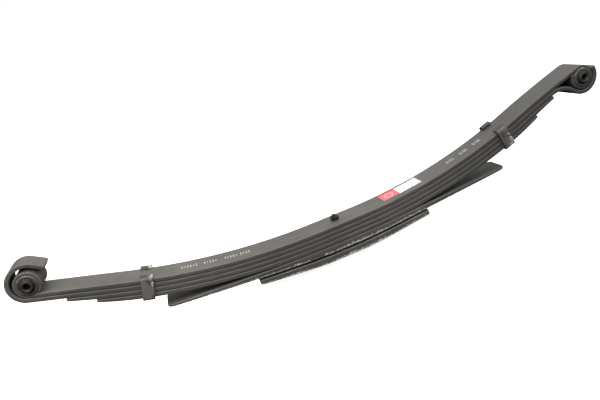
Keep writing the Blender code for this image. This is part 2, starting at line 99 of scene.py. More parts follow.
class SpringLeafSizes(PropertyGroup):
    """Sizes of the leaves and of the curve that they follow."""

    thickness: length("Leaf Thickness", "Thickness of a leaf of the pack", 10.2)
    eye_thickness: length("Eye Leaf Thickness", "Thickness of a long leaf at its eye", 9.2)
    edge_rounding: length("Edge Rounding", "Radius along the long edges of a leaf", 2.4)
    end_bevel: length("End Bevel", "Bevel round the sheared end of a leaf", 0.5)
    row_spacing: length("Row Spacing", "Distance between sections of a leaf", 9.0)
    seat_half: length("Seat Half Length", "Half of the flat at the axle seat", 45.0)
    arm: length("Arm", "Centre bolt to the end of the leaf at each eye", 657.0)
    main_arc_end: length("Main Arc End", "Distance at which the arc of the main leaf ends", 480.0)
    left_radius: length("Left Radius", "Radius of the left arm", 1470.0)
    right_radius: length("Right Radius", "Radius of the right arm", 1220.0)
    right_reverse_radius: length(
        "Right Reverse Radius", "Radius of the right end, which bends back", 2730.0
    )
    eye_radius: length("Eye Radius", "Outer radius of a rolled eye", 27.5)
    eye_sweep: FloatProperty(
        name="Eye Sweep",
        description="How far an eye is rolled",
        default=math.radians(330.0),
        subtype="ANGLE",
    )
    corner_steps: IntProperty(
        name="Corner Steps", description="Faces round each long edge", default=4, min=1
    )


class SpringSmallSizes(PropertyGroup):
    """Sizes of the clips, marks, threads and label."""

    clip_station: length("Clip Distance", "Centre bolt to each clip, along the leaf", 429.0)
    clip_width: length("Clip Width", "Width of a clip's strap", 25.0)
    clip_thickness: length("Clip Thickness", "Thickness of a clip's strap", 4.5)
    clip_tab: length("Clip Tab", "How far a clip's tab reaches over the main leaf", 13.0)
    thread_pitch: length("Thread Pitch", "Pitch of the centre bolt", 1.5)
    mark_height: length("Mark Height", "Height of a stamped mark", 14.0)
    mark_width: length("Mark Width", "Width of a stamped mark's stroke", 2.4)
    label_start: length("Label Start", "Centre bolt to the label", 117.0)
    label_length: length("Label Length", "Length of the label", 98.0)
    label_width: length("Label Width", "Width of the label", 42.0)


class SpringColours(PropertyGroup):
    """Colours of the spring's finishes."""

    paint: colour("Paint", "Chassis paint where it is clean", "#5b5854")
    paint_dusty: colour("Dusty Paint", "Chassis paint greyed by handling", "#716d67")
    chip: colour("Chips", "Pale primer and bare metal in paint chips", "#efede6")
    rubber: colour("Rubber", "Rubber of the bushes", "#232221")
    sleeve: colour("Sleeve", "Black-passivated steel of the outer sleeves", "#72706c")
    oxide: colour("Black Oxide", "Black oxide on the bolt and nut", "#3a3937")
    label_red: colour("Label Red", "Printed field of the label", "#ee7476")
    label_white: colour("Label White", "Bare paper of the label", "#fbfbf8")
    label_grey: colour("Label Grey", "Printed bars of the label", "#8f9391")


class SpringStage(PropertyGroup):
    """Camera, lights and floor."""

    lens: FloatProperty(name="Lens", description="Focal length in millimetres", default=35.86, min=1.0)
    heading: FloatProperty(
        name="Heading",
        description="Turn of the view to the right",
        default=math.radians(8.52),
        subtype="ANGLE",
    )
    pitch: FloatProperty(
        name="Pitch",
        description="How far the view looks down",
        default=math.radians(17.96),
        subtype="ANGLE",
    )
    roll: FloatProperty(
        name="Roll",
        description="Tilt of the camera to its right",
        default=math.radians(19.33),
        subtype="ANGLE",
    )
    position: FloatVectorProperty(
        name="Position",
        description="Where the camera stands",
        default=(-0.2446, -1.2310, 0.5562),
        subtype="XYZ",
    )
    sky: FloatProperty(
        name="Overhead Light", description="Strength of the light from above", default=1.25, min=0.0
    )
    horizon: FloatProperty(
        name="Side Light", description="Strength of the light from the sides", default=0.17, min=0.0
    )
    lean: FloatProperty(
        name="Sky Lean",
        description="How much brighter the sky is towards +X",
        default=0.8,
        min=0.0,
        max=1.0,
    )
    below: FloatProperty(
        name="Light from Below", description="Strength of the light from below", default=0.04, min=0.0
    )
    floor: colour("Floor", "Colour of the floor", "#eeeeec")
    floor_glow: FloatProperty(
        name="Floor Glow", description="Light from inside the white table", default=0.9, min=0.0
    )


# ---- Nodes. ----


def socket(sockets, key):
    """A socket by number, or the first one in use with that name."""
    if isinstance(key, int):
        return sockets[key]
    return next(s for s in sockets if s.name == key and s.enabled)


def add(tree, kind, inputs=None, **settings):
    """Adds a node with its settings; an input is a value, a socket, or a node read at its first output."""
    node = tree.nodes.new(kind)
    for key, value in settings.items():
        setattr(node, key, value)
    for key, value in (inputs or {}).items():
        target = socket(node.inputs, key)
        if isinstance(value, bpy.types.Node):
            value = next(s for s in value.outputs if s.enabled)
        if isinstance(value, bpy.types.NodeSocket):
            tree.links.new(value, target)
        else:
            target.default_value = value
    return node


def new_group(name, inputs):
    """A Geometry Nodes tree that takes and gives geometry; an input is (name, socket type, default)."""
    tree = bpy.data.node_groups.new(name, "GeometryNodeTree")
    tree.interface.new_socket("Geometry", in_out="INPUT", socket_type="NodeSocketGeometry")
    tree.interface.new_socket("Geometry", in_out="OUTPUT", socket_type="NodeSocketGeometry")
    for label, kind, default in inputs:
        made = tree.interface.new_socket(label, in_out="INPUT", socket_type=kind)
        if default is not None:
            made.default_value = default
    return tree


def finish_group(tree, geometry, material):
    """Ends a tree: instances made real, one material, output."""
    real = add(tree, "GeometryNodeRealizeInstances", {"Geometry": geometry})
    dressed = add(tree, "GeometryNodeSetMaterial", {"Geometry": real, "Material": material})
    add(tree, "NodeGroupOutput", {"Geometry": dressed})


def grow(tree, source, name, values):
    """Runs a tree on a mesh and returns the result as a plain mesh object at the origin."""
    holder = bpy.data.objects.new(name + "_guide", source)
    bpy.context.scene.collection.objects.link(holder)
    modifier = holder.modifiers.new(tree.name, "NODES")
    modifier.node_group = tree
    for item in tree.interface.items_tree:
        if item.item_type == "SOCKET" and item.in_out == "INPUT" and item.name in values:
            modifier[item.identifier] = values[item.name]
    evaluated = holder.evaluated_get(bpy.context.evaluated_depsgraph_get())
    mesh = bpy.data.meshes.new_from_object(evaluated)
    bpy.data.objects.remove(holder)
    bpy.data.meshes.remove(source)
    return new_object(name, mesh)


def new_object(name, mesh):
    obj = bpy.data.objects.new(name, mesh)
    bpy.context.scene.collection.objects.link(obj)
    return obj


def tidy_mesh(mesh, sharp_angle=32.0):
    """Closes seams, turns faces outwards and leaves hard edges only where the surface really turns."""
    builder = bmesh.new()
    builder.from_mesh(mesh)
    bmesh.ops.remove_doubles(builder, verts=builder.verts[:], dist=2e-6)
    bmesh.ops.dissolve_degenerate(builder, edges=builder.edges[:], dist=1e-6)
    bmesh.ops.recalc_face_normals(builder, faces=builder.faces[:])
    for face in builder.faces:
        face.smooth = True
    builder.to_mesh(mesh)
    builder.free()
    mesh.set_sharp_from_angle(angle=math.radians(sharp_angle))


def stand_for(obj, node, body, slot):
    """Puts a finished piece in the place of a CAD node."""
    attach(obj, body)
    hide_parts(node)


# ---- Materials. ----


def new_material(name):
    material = bpy.data.materials.new(name)
    material.use_nodes = True
    tree = material.node_tree
    shader = tree.nodes["Principled BSDF"]
    return material, tree, shader


def connect(tree, shader, sources):
    """Joins the first output in use of each node to the shader input of that name."""
    for name, node in sources.items():
        tree.links.new(next(s for s in node.outputs if s.enabled), shader.inputs[name])


def edge_mask(tree, normal):
    """1 on the rounded long edges of a bar that runs across Y, 0 on its flat faces."""
    squared = add(
        tree, "ShaderNodeMath", {0: normal.outputs["Y"], 1: normal.outputs["Y"]}, operation="MULTIPLY"
    )
    other = add(tree, "ShaderNodeMath", {0: 1.0, 1: squared}, operation="SUBTRACT")
    product = add(tree, "ShaderNodeMath", {0: squared, 1: other}, operation="MULTIPLY")
    return add(tree, "ShaderNodeMapRange", {"Value": product, "From Min": 0.05, "From Max": 0.2})


def chassis_paint(name, upper_chips, lower_chips, side_chips, shade):
    """Black chassis paint baked on shot-peened, hot-rolled spring steel.

    The eye sees a satin grey-black skin, faintly pebbled, clouded by handling dust, streaked along the
    rolling direction and chipped to pale primer and metal along the long edges and low on the sides.
    """
    colours = bpy.context.scene.spring_colours
    material, tree, shader = new_material(name)
    coordinates = add(tree, "ShaderNodeTexCoord")
    place = coordinates.outputs["Object"]
    # Clouds of dust about 120 mm across.
    clouds = add(
        tree, "ShaderNodeTexNoise", {"Vector": place, "Scale": 8.0, "Detail": 4.0, "Roughness": 0.55}
    )
    # Rolling streaks, 4 mm wide and some 80 mm long.
    drawn = add(tree, "ShaderNodeMapping", {"Vector": place, "Scale": (12.0, 240.0, 240.0)})
    streaks = add(
        tree, "ShaderNodeTexNoise", {"Vector": drawn, "Scale": 1.0, "Detail": 3.0, "Roughness": 0.6}
    )
    blend = add(tree, "ShaderNodeMath", {0: clouds, 1: streaks}, operation="ADD")
    settled = add(tree, "ShaderNodeMapRange", {"Value": blend, "From Min": 0.8, "From Max": 1.25})
    # Towards +X the dust clouds fade out. Past about 0.37 m the factor drops below zero, and because the mix
    # is unclamped the paint turns darker than its clean colour there: painted shade on the steep right arm.
    station = add(tree, "ShaderNodeSeparateXYZ", {"Vector": place})
    reach = {
        "Value": station.outputs["X"], "From Min": 0.18, "From Max": 0.42, "To Min": 1.0, "To Max": -0.25
    }
    dust_fade_and_right_arm_shade = add(tree, "ShaderNodeMapRange", reach)
    dust_and_right_arm_shade = add(tree, "ShaderNodeMath", {0: settled, 1: dust_fade_and_right_arm_shade}, operation="MULTIPLY")
    clean = [c * shade for c in colours.paint[:3]] + [1.0]
    dusty = [c * shade for c in colours.paint_dusty[:3]] + [1.0]
    skin = add(
        tree,
        "ShaderNodeMix",
        {"Factor": dust_and_right_arm_shade, "A": clean, "B": dusty},
        data_type="RGBA",
        clamp_factor=False,
    )
    # Chips from 1 to 6 mm, longer along the edge than across it.
    along = add(tree, "ShaderNodeMapping", {"Vector": place, "Scale": (150.0, 260.0, 260.0)})
    flakes = add(
        tree, "ShaderNodeTexNoise", {"Vector": along, "Scale": 1.0, "Detail": 6.0, "Roughness": 0.78}
    )
    patches = add(tree, "ShaderNodeTexNoise", {"Vector": place, "Scale": 17.0, "Detail": 2.0})
    both = add(tree, "ShaderNodeMath", {0: patches, 1: 0.3, 2: flakes}, operation="MULTIPLY_ADD")
    normal = add(tree, "ShaderNodeSeparateXYZ", {"Vector": coordinates.outputs["Normal"]})
    edge = edge_mask(tree, normal)
    on_edges = add(tree, "ShaderNodeMath", {0: edge, 1: upper_chips}, operation="MULTIPLY")
    # Chips are thickest low on a side, which is what a leaf is dropped and dragged on.
    rise = add(tree, "ShaderNodeAttribute", attribute_name="rise_share").outputs["Fac"]
    low = {"Value": rise, "From Min": -0.75, "From Max": 0.1, "To Min": lower_chips, "To Max": side_chips}
    low_share = add(tree, "ShaderNodeMapRange", low)
    facing = add(tree, "ShaderNodeMath", {0: normal.outputs["Y"]}, operation="ABSOLUTE")
    side = add(tree, "ShaderNodeMapRange", {"Value": facing, "From Min": 0.35, "From Max": 0.7})
    on_side = add(tree, "ShaderNodeMath", {0: side, 1: low_share}, operation="MULTIPLY")
    share = add(tree, "ShaderNodeMath", {0: on_edges, 1: on_side}, operation="MAXIMUM")
    level = add(tree, "ShaderNodeMath", {0: both, 1: share}, operation="ADD")
    bare = add(tree, "ShaderNodeMapRange", {"Value": level, "From Min": 1.05, "From Max": 1.13})
    # The edges are rubbed a little paler all along.
    rubbed = add(tree, "ShaderNodeMath", {0: edge, 1: 0.06}, operation="MULTIPLY")
    worn = add(tree, "ShaderNodeMath", {0: bare, 1: rubbed}, operation="MAXIMUM")
    chip = tuple(colours.chip)
    finish = add(tree, "ShaderNodeMix", {"Factor": worn, "A": skin, "B": chip}, data_type="RGBA")
    # Shot peening leaves dimples about 2.5 mm apart, drawn a little coarser than real so that they show.
    dimples = add(tree, "ShaderNodeTexVoronoi", {"Vector": place, "Scale": 400.0}, feature="SMOOTH_F1")
    grain = add(tree, "ShaderNodeTexNoise", {"Vector": place, "Scale": 900.0, "Detail": 2.0})
    relief = add(tree, "ShaderNodeMath", {0: dimples, 1: grain}, operation="ADD")
    deeper = add(tree, "ShaderNodeMath", {0: relief, 1: bare}, operation="SUBTRACT")
    bump = add(tree, "ShaderNodeBump", {"Height": deeper, "Strength": 0.35, "Distance": 0.12 * MM})
    gloss = add(tree, "ShaderNodeMapRange", {"Value": grain, "To Min": 0.40, "To Max": 0.58})
    connect(tree, shader, {"Base Color": finish, "Normal": bump, "Roughness": gloss})
    shader.inputs["Metallic"].default_value = 0.0
    shader.inputs["IOR"].default_value = 1.5
    return material


def worn_steel(name, tone, metallic, roughness, bright, amount, scale):
    """Metal with rubbed, brighter patches: the base for sleeves, bolt, nut, spacer, rivets and marks."""
    material, tree, shader = new_material(name)
    place = add(tree, "ShaderNodeTexCoord").outputs["Object"]
    patches = add(
        tree, "ShaderNodeTexNoise", {"Vector": place, "Scale": scale, "Detail": 6.0, "Roughness": 0.68}
    )
    wear = {"Value": patches, "From Min": 0.72 - amount, "From Max": 0.80 - amount, "To Max": 0.9}
    rubbed = add(tree, "ShaderNodeMapRange", wear)
    fine = add(tree, "ShaderNodeTexNoise", {"Vector": place, "Scale": 700.0, "Detail": 3.0})
    mottle = {"Value": fine, "From Min": 0.3, "From Max": 0.7, "To Min": 0.85, "To Max": 1.15}
    shade = add(tree, "ShaderNodeMapRange", mottle)
    base = add(tree, "ShaderNodeMix", {"Factor": rubbed, "A": tone, "B": bright}, data_type="RGBA")
    toned = add(tree, "ShaderNodeVectorMath", {0: base, "Scale": shade}, operation="SCALE")
    sheen = {"Value": patches, "To Min": roughness - 0.08, "To Max": roughness + 0.1}
    gloss = add(tree, "ShaderNodeMapRange", sheen)
    bump = add(tree, "ShaderNodeBump", {"Height": fine, "Strength": 0.3, "Distance": 0.08 * MM})
    connect(tree, shader, {"Base Color": toned, "Normal": bump, "Roughness": gloss})
    shader.inputs["Metallic"].default_value = metallic
    return material


def strap_steel(name, middle):
    """Strip steel bent hot and dipped in chassis paint.

    The eye sees a dark half-gloss skin with bright ragged chips, most of them on the side towards +X.
    """
    material, tree, shader = new_material(name)
    coordinates = add(tree, "ShaderNodeTexCoord")
    place = coordinates.outputs["Object"]
    station = add(tree, "ShaderNodeSeparateXYZ", {"Vector": place}).outputs["X"]
    start, end = middle - 4.0 * MM, middle + 12.0 * MM
    share = add(
        tree, "ShaderNodeMapRange", {"Value": station, "From Min": start, "From Max": end, "To Max": 0.26}
    )
    # Chips from 1 to 5 mm.
    flakes = add(
        tree, "ShaderNodeTexNoise", {"Vector": place, "Scale": 190.0, "Detail": 6.0, "Roughness": 0.75}
    )
    level = add(tree, "ShaderNodeMath", {0: flakes, 1: share}, operation="ADD")
    bare = add(tree, "ShaderNodeMapRange", {"Value": level, "From Min": 0.74, "From Max": 0.79})
    clouds = add(tree, "ShaderNodeTexNoise", {"Vector": place, "Scale": 60.0, "Detail": 4.0})
    # The tabs and the bottom keep the dark paint. The faces that look along Y, the arms, are painted paler in
    # clouds: painted light on the arms.
    normal = add(tree, "ShaderNodeSeparateXYZ", {"Vector": coordinates.outputs["Normal"]})
    arm = add(tree, "ShaderNodeMath", {0: normal.outputs["Y"]}, operation="ABSOLUTE")
    arm_light_clouds = add(tree, "ShaderNodeMath", {0: arm, 1: clouds}, operation="MULTIPLY")
    painted_arm_light = add(tree, "ShaderNodeMapRange", {"Value": arm_light_clouds, "From Min": 0.1, "From Max": 0.6})
    dark, dusty, chip = linear("#363432"), linear("#85817b"), linear("#f4f2ec")
    skin = add(tree, "ShaderNodeMix", {"Factor": painted_arm_light, "A": dark, "B": dusty}, data_type="RGBA")
    finish = add(tree, "ShaderNodeMix", {"Factor": bare, "A": skin, "B": chip}, data_type="RGBA")
    grain = add(tree, "ShaderNodeTexNoise", {"Vector": place, "Scale": 800.0, "Detail": 2.0})
    relief = add(tree, "ShaderNodeMath", {0: grain, 1: bare}, operation="SUBTRACT")
    bump = add(tree, "ShaderNodeBump", {"Height": relief, "Strength": 0.4, "Distance": 0.12 * MM})
    gloss = add(tree, "ShaderNodeMapRange", {"Value": clouds, "To Min": 0.26, "To Max": 0.46})
    connect(tree, shader, {"Base Color": finish, "Normal": bump, "Roughness": gloss})
    shader.inputs["IOR"].default_value = 1.5
    return material


def moulded_rubber(name):
    """Moulded natural rubber: a near-black matt skin with a faint grey bloom in blotches."""
    colours = bpy.context.scene.spring_colours
    material, tree, shader = new_material(name)
    place = add(tree, "ShaderNodeTexCoord").outputs["Object"]
    # Bloom in blotches about 8 mm across.
    bloom = add(
        tree, "ShaderNodeTexNoise", {"Vector": place, "Scale": 120.0, "Detail": 4.0, "Roughness": 0.6}
    )
    amount = add(
        tree, "ShaderNodeMapRange", {"Value": bloom, "From Min": 0.48, "From Max": 0.72, "To Max": 0.45}
    )
    black, bloomed = tuple(colours.rubber), linear("#6e6c69")
    skin = add(tree, "ShaderNodeMix", {"Factor": amount, "A": black, "B": bloomed}, data_type="RGBA")
    pores = add(tree, "ShaderNodeTexNoise", {"Vector": place, "Scale": 1400.0, "Detail": 2.0})
    bump = add(tree, "ShaderNodeBump", {"Height": pores, "Strength": 0.25, "Distance": 0.06 * MM})
    connect(tree, shader, {"Base Color": skin, "Normal": bump})
    shader.inputs["Roughness"].default_value = 0.62
    shader.inputs["IOR"].default_value = 1.52
    return material


# ---- The curve that every leaf follows: the underside of the main leaf, in the side view. ----

GAP = 0.3 * MM
# The CAD leaf has a seat this deep for the nut, whose foot stands one gap above the seat's floor.
# The finished leaf is plain there.
NUT_SEAT_DEPTH = 0.2 * MM
seat_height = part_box("centre_nut")[0].z - GAP + NUT_SEAT_DEPTH
half_width = box_width("main_leaf", 1) / 2.0


def advance(pose, distance, curvature):
    """The position and slope after going this far along a curve of this curvature."""
    x, z, slope = pose
    if abs(curvature) < 1e-6:
        return x + distance * math.cos(slope), z + distance * math.sin(slope), slope
    turned = slope + distance * curvature
    x += (math.sin(turned) - math.sin(slope)) / curvature
    z += (math.cos(slope) - math.cos(turned)) / curvature
    return x, z, turned


def curve_frame(station):
    """The point, outward direction and upward normal at a signed distance from the centre bolt."""
    sizes = bpy.context.scene.spring_leaf_sizes
    side = -1 if station < 0 else 1
    distance = abs(station)
    radius = sizes.left_radius if side < 0 else sizes.right_radius
    end_curvature = 0.0 if side < 0 else -1.0 / sizes.right_reverse_radius
    pose = advance((0.0, 0.0, 0.0), min(distance, sizes.seat_half), 0.0)
    if distance > sizes.seat_half:
        pose = advance(pose, min(distance, sizes.main_arc_end) - sizes.seat_half, 1.0 / radius)
    if distance > sizes.main_arc_end:
        pose = advance(pose, distance - sizes.main_arc_end, end_curvature)
    x, z, slope = pose
    outward = Vector((side * math.cos(slope), math.sin(slope)))
    normal = Vector((-side * math.sin(slope), math.cos(slope)))
    return Vector((side * x, z)), outward, normal


def surface_point(station, height):
    point, _, normal = curve_frame(station)
    return point + normal * height


def to_world(point, across=0.0):
    """A point of the side view at a position across the spring."""
    base = seat_height - bpy.context.scene.spring_leaf_sizes.thickness
    return Vector((point.x, across, point.y + base))


def eased(start, end, value):
    return min(1.0, max(0.0, (value - start) / (end - start)))


# Shapes of the leaves that aren't the pack's common thickness, in metres.
EYE_TAPER = 150.0 * MM
CURL_TIP_CLEARANCE = 0.9 * MM
THIRD_LENGTHS = (588.0 * MM, 575.0 * MM)
FOURTH_LENGTHS = (531.0 * MM, 519.0 * MM)
SHORT_TIP = 6.5 * MM
SHORT_TAPER = 95.0 * MM
UPPER_HELPER = {"half": 395.0 * MM, "thick": 16.0 * MM, "tip": 6.0 * MM, "contact": 110.0 * MM}
UPPER_HELPER_TIP_GAPS = (24.0 * MM, 34.0 * MM)
LOWER_HELPER = {"half": 200.0 * MM, "thick": 16.0 * MM, "tip": 11.0 * MM}
HELPER_CORNER = 14.0 * MM
SPACER_THICKNESS = 4.4 * MM
SPACER_HALF = 42.0 * MM
BOLT_RADIUS = 5.0 * MM
BOLT_HOLE = 5.6 * MM
RIVET_RADIUS = 5.0 * MM
RIVET_HOLE = 5.4 * MM
LEAF_CUT = 40.0 * MM
RIVET_CUT = 30.0 * MM
SPACER_CUT = 20.0 * MM
CLIP_CUT = 12.0 * MM


def main_top(station):
    sizes = bpy.context.scene.spring_leaf_sizes
    share = eased(sizes.arm - EYE_TAPER, sizes.arm, abs(station))
    return sizes.thickness + (sizes.eye_thickness - sizes.thickness) * share


def main_bottom(station):
    return 0.0


def wrapper_top(station):
    return -GAP


def wrapper_bottom(station):
    return -GAP - main_top(station)


def short_thickness(station, lengths):
    thick = bpy.context.scene.spring_leaf_sizes.thickness
    tip = lengths[0] if station < 0 else lengths[1]
    share = eased(tip - SHORT_TAPER, tip, abs(station))
    return thick + (SHORT_TIP - thick) * share ** 1.5


def third_top(station):
    return wrapper_bottom(station) - GAP


def third_bottom(station):
    return third_top(station) - short_thickness(station, THIRD_LENGTHS)


def fourth_top(station):
    return third_bottom(station) - GAP


def fourth_bottom(station):
    return fourth_top(station) - short_thickness(station, FOURTH_LENGTHS)


def upper_helper_top(station):
    thick = bpy.context.scene.spring_leaf_sizes.thickness
    gap = UPPER_HELPER_TIP_GAPS[0] if station < 0 else UPPER_HELPER_TIP_GAPS[1]
    share = eased(UPPER_HELPER["contact"], UPPER_HELPER["half"], abs(station))
    return -4.0 * (thick + GAP) + thick - GAP - gap * share ** 2


def helper_thickness(station, shape):
    seat = bpy.context.scene.spring_leaf_sizes.seat_half
    share = eased(seat, shape["half"], abs(station))
    return shape["thick"] + (shape["tip"] - shape["thick"]) * share


def upper_helper_bottom(station):
    return upper_helper_top(station) - helper_thickness(station, UPPER_HELPER)


def lower_helper_top(station):
    return upper_helper_bottom(station) - 2.0 * GAP - SPACER_THICKNESS


def lower_helper_bottom(station):
    return lower_helper_top(station) - helper_thickness(station, LOWER_HELPER)


# ---- Leaves. A row is (lower point, upper point, half width) in the side view. ----


def even_stations(start, end):
    """Signed distances from start to end, at the leaf's row spacing."""
    spacing = bpy.context.scene.spring_leaf_sizes.row_spacing
    count = max(1, round((end - start) / spacing))
    return [start + (end - start) * i / count for i in range(count + 1)]


def plain_rows(stations, bottom, top):
    return [(surface_point(s, bottom(s)), surface_point(s, top(s)), half_width) for s in stations]


def arc(origin, axes, centre, radius, start, sweep, step=4.0):
    """Points on a circle given in a leaf's outward and upward directions; angles in degrees.

    The radius may be a function of how many degrees have been turned.
    """
    steps = max(2, round(abs(sweep) / step))
    outward, normal = axes
    points = []
    for i in range(steps + 1):
        angle = math.radians(start + sweep * i / steps)
        reach = radius(abs(sweep) * i / steps) if callable(radius) else radius
        along = centre[0] + reach * math.cos(angle)
        up = centre[1] + reach * math.sin(angle)
        points.append(origin + outward * along + normal * up)
    return points


def curl_outer_radius(turned):
    """The outside of a rolled eye after this many degrees: its tip is scarfed to lie on its own leaf."""
    sizes = bpy.context.scene.spring_leaf_sizes
    if turned <= 270.0:
        return sizes.eye_radius
    bore = sizes.eye_radius - sizes.eye_thickness
    return min(sizes.eye_radius, (bore - CURL_TIP_CLEARANCE) / math.cos(math.radians(360.0 - turned)))


def main_leaf_rows():
    """The master leaf: its left end rolls upwards into an eye and its right end downwards."""
    sizes = bpy.context.scene.spring_leaf_sizes
    sweep = math.degrees(sizes.eye_sweep)
    bore = sizes.eye_radius - sizes.eye_thickness
    rows = plain_rows(even_stations(-sizes.arm, sizes.arm), main_bottom, main_top)
    point, outward, normal = curve_frame(-sizes.arm)
    circle = ((outward, normal), (0.0, sizes.eye_radius))
    outer = arc(point, *circle, curl_outer_radius, -90.0, sweep)
    inner = arc(point, *circle, bore, -90.0, sweep)
    left = [(low, high, half_width) for low, high in zip(outer, inner)]
    point, outward, normal = curve_frame(sizes.arm)
    circle = ((outward, normal), (0.0, sizes.eye_thickness - sizes.eye_radius))
    outer = arc(point, *circle, curl_outer_radius, 90.0, -sweep)
    inner = arc(point, *circle, bore, 90.0, -sweep)
    right = [(low, high, half_width) for low, high in zip(inner, outer)]
    return left[:0:-1] + rows + right[1:]


# Relative lengths of the straight tail's steps, shortest where it leaves the roll.
TAIL_STEPS = (0.35, 0.7, 1.0)
LEFT_WRAP = {"sweep": 194.0, "tail": 29.0 * MM, "width": 50.0 * MM, "straight": 2.5 * MM, "slack": 2.8 * MM}
RIGHT_WRAP = {
    "leave": 80.0 * MM,
    "join": 4.0 * MM,
    "end": 6.0,
    "slack": 2.6 * MM,
    "out": 0.4 * MM,
    "up": 0.2 * MM,
    "ease": 0.4 * MM,
}


def left_wrap_rows():
    """The wrapper over the left eye: loose round it, then a short straight tail, narrowing as it goes."""
    sizes = bpy.context.scene.spring_leaf_sizes
    thick = sizes.eye_thickness
    point, outward, normal = curve_frame(-sizes.arm)
    inner_radius = sizes.eye_radius + LEFT_WRAP["slack"] + GAP
    circle = ((outward, normal), (LEFT_WRAP["straight"], inner_radius - GAP))
    inner = arc(point, *circle, inner_radius, -90.0, LEFT_WRAP["sweep"])
    outer = arc(point, *circle, inner_radius + thick, -90.0, LEFT_WRAP["sweep"])
    heading = math.radians(LEFT_WRAP["sweep"])
    tail = outward * math.cos(heading) + normal * math.sin(heading)
    for step in TAIL_STEPS:
        move = tail * LEFT_WRAP["tail"] * step / sum(TAIL_STEPS)
        inner.append(inner[-1] + move)
        outer.append(outer[-1] + move)
    rows = []
    for i, (high, low) in enumerate(zip(inner, outer)):
        share = eased(len(inner) * 0.5, len(inner) - 1.0, i)
        rows.append((low, high, half_width + (LEFT_WRAP["width"] / 2.0 - half_width) * share))
    return rows


def right_wrap_rows():
    """The wrapper at the right: it bends away under the downward eye and comes up round its far side."""
    sizes = bpy.context.scene.spring_leaf_sizes
    thick = sizes.eye_thickness
    point, outward, normal = curve_frame(sizes.arm)
    start_point, _, start_normal = curve_frame(sizes.arm - RIGHT_WRAP["leave"])
    away = start_point - start_normal * GAP - point
    start = Vector((away.dot(outward), away.dot(normal)))
    up = Vector((start_normal.dot(outward), start_normal.dot(normal)))
    eye_centre = Vector((RIGHT_WRAP["out"], sizes.eye_thickness - sizes.eye_radius + RIGHT_WRAP["up"]))
    eye_radius = sizes.eye_radius + RIGHT_WRAP["slack"]
    meet = eye_radius + RIGHT_WRAP["ease"]
    reach = start - eye_centre
    bend_radius = (reach.length_squared - meet ** 2) / (2.0 * (meet + reach.dot(up)))
    bend_centre = start - up * bend_radius
    between = eye_centre - bend_centre
    climb = math.degrees(math.atan2(between.y, between.x))
    dip = math.degrees(math.acos((bend_radius + eye_radius) / between.length))
    leave = climb + dip
    first = math.degrees(math.atan2(up.y, up.x))
    axes = (outward, normal)
    inner = arc(point, axes, bend_centre, bend_radius, first, leave - first, 5.0)
    outer = arc(point, axes, bend_centre, bend_radius - thick, first, leave - first, 5.0)
    begin = leave - 180.0
    inner += arc(point, axes, eye_centre, eye_radius, begin, RIGHT_WRAP["end"] - begin)
    outer += arc(point, axes, eye_centre, eye_radius + thick, begin, RIGHT_WRAP["end"] - begin)
    return [(low, high, half_width) for low, high in zip(outer, inner)]


def wrapper_leaf_rows():
    sizes = bpy.context.scene.spring_leaf_sizes
    left = left_wrap_rows()
    end = sizes.arm - RIGHT_WRAP["leave"] - RIGHT_WRAP["join"]
    rows = plain_rows(even_stations(-sizes.arm, end), wrapper_bottom, wrapper_top)
    return left[:0:-1] + rows + right_wrap_rows()


def helper_rows(shape, corner, bottom, top):
    """A helper leaf, whose tips are rounded in plan."""
    half = shape["half"]
    tip = [half - corner + corner * math.sin(math.radians(a)) for a in (0, 15, 30, 45, 60, 72, 82, 90)]
    stations = [-s for s in reversed(tip)]
    stations += even_stations(-half + corner, half - corner)[1:-1] + tip
    rows = []
    for s in stations:
        inside = max(0.0, abs(s) - (half - corner))
        cut = corner - math.sqrt(max(0.0, corner ** 2 - inside ** 2))
        rows.append((surface_point(s, bottom(s)), surface_point(s, top(s)), half_width - cut))
    return rows


def guide_mesh(name, rows, bevel, world):
    """The lower line of a bar as a chain of points that carry its rise, half width, inset and cap share."""
    guide = []
    for (low, high, half), (next_low, next_high, _) in ((rows[0], rows[1]), (rows[-1], rows[-2])):
        share = bevel / max(1e-9, (next_low - low).length)
        inner = (low.lerp(next_low, share), high.lerp(next_high, share), half)
        guide.append([(low, high, half, bevel, 1.0), (low, high, half, bevel, 0.0), (*inner, 0.0, 0.0)])
    chain = guide[0] + [(*row, 0.0, 0.0) for row in rows[1:-1]] + guide[1][::-1]
    lows = [world(row[0]) for row in chain]
    mesh = bpy.data.meshes.new(name)
    mesh.from_pydata(lows, [(i, i + 1) for i in range(len(lows) - 1)], [])
    rise = mesh.attributes.new("rise", "FLOAT_VECTOR", "POINT")
    for item, row, low in zip(rise.data, chain, lows):
        item.vector = world(row[1]) - low
    for column, label in ((2, "half_width"), (3, "inset"), (4, "cap")):
        values = mesh.attributes.new(label, "FLOAT", "POINT")
        for item, row in zip(values.data, chain):
            item.value = row[column]
    return mesh


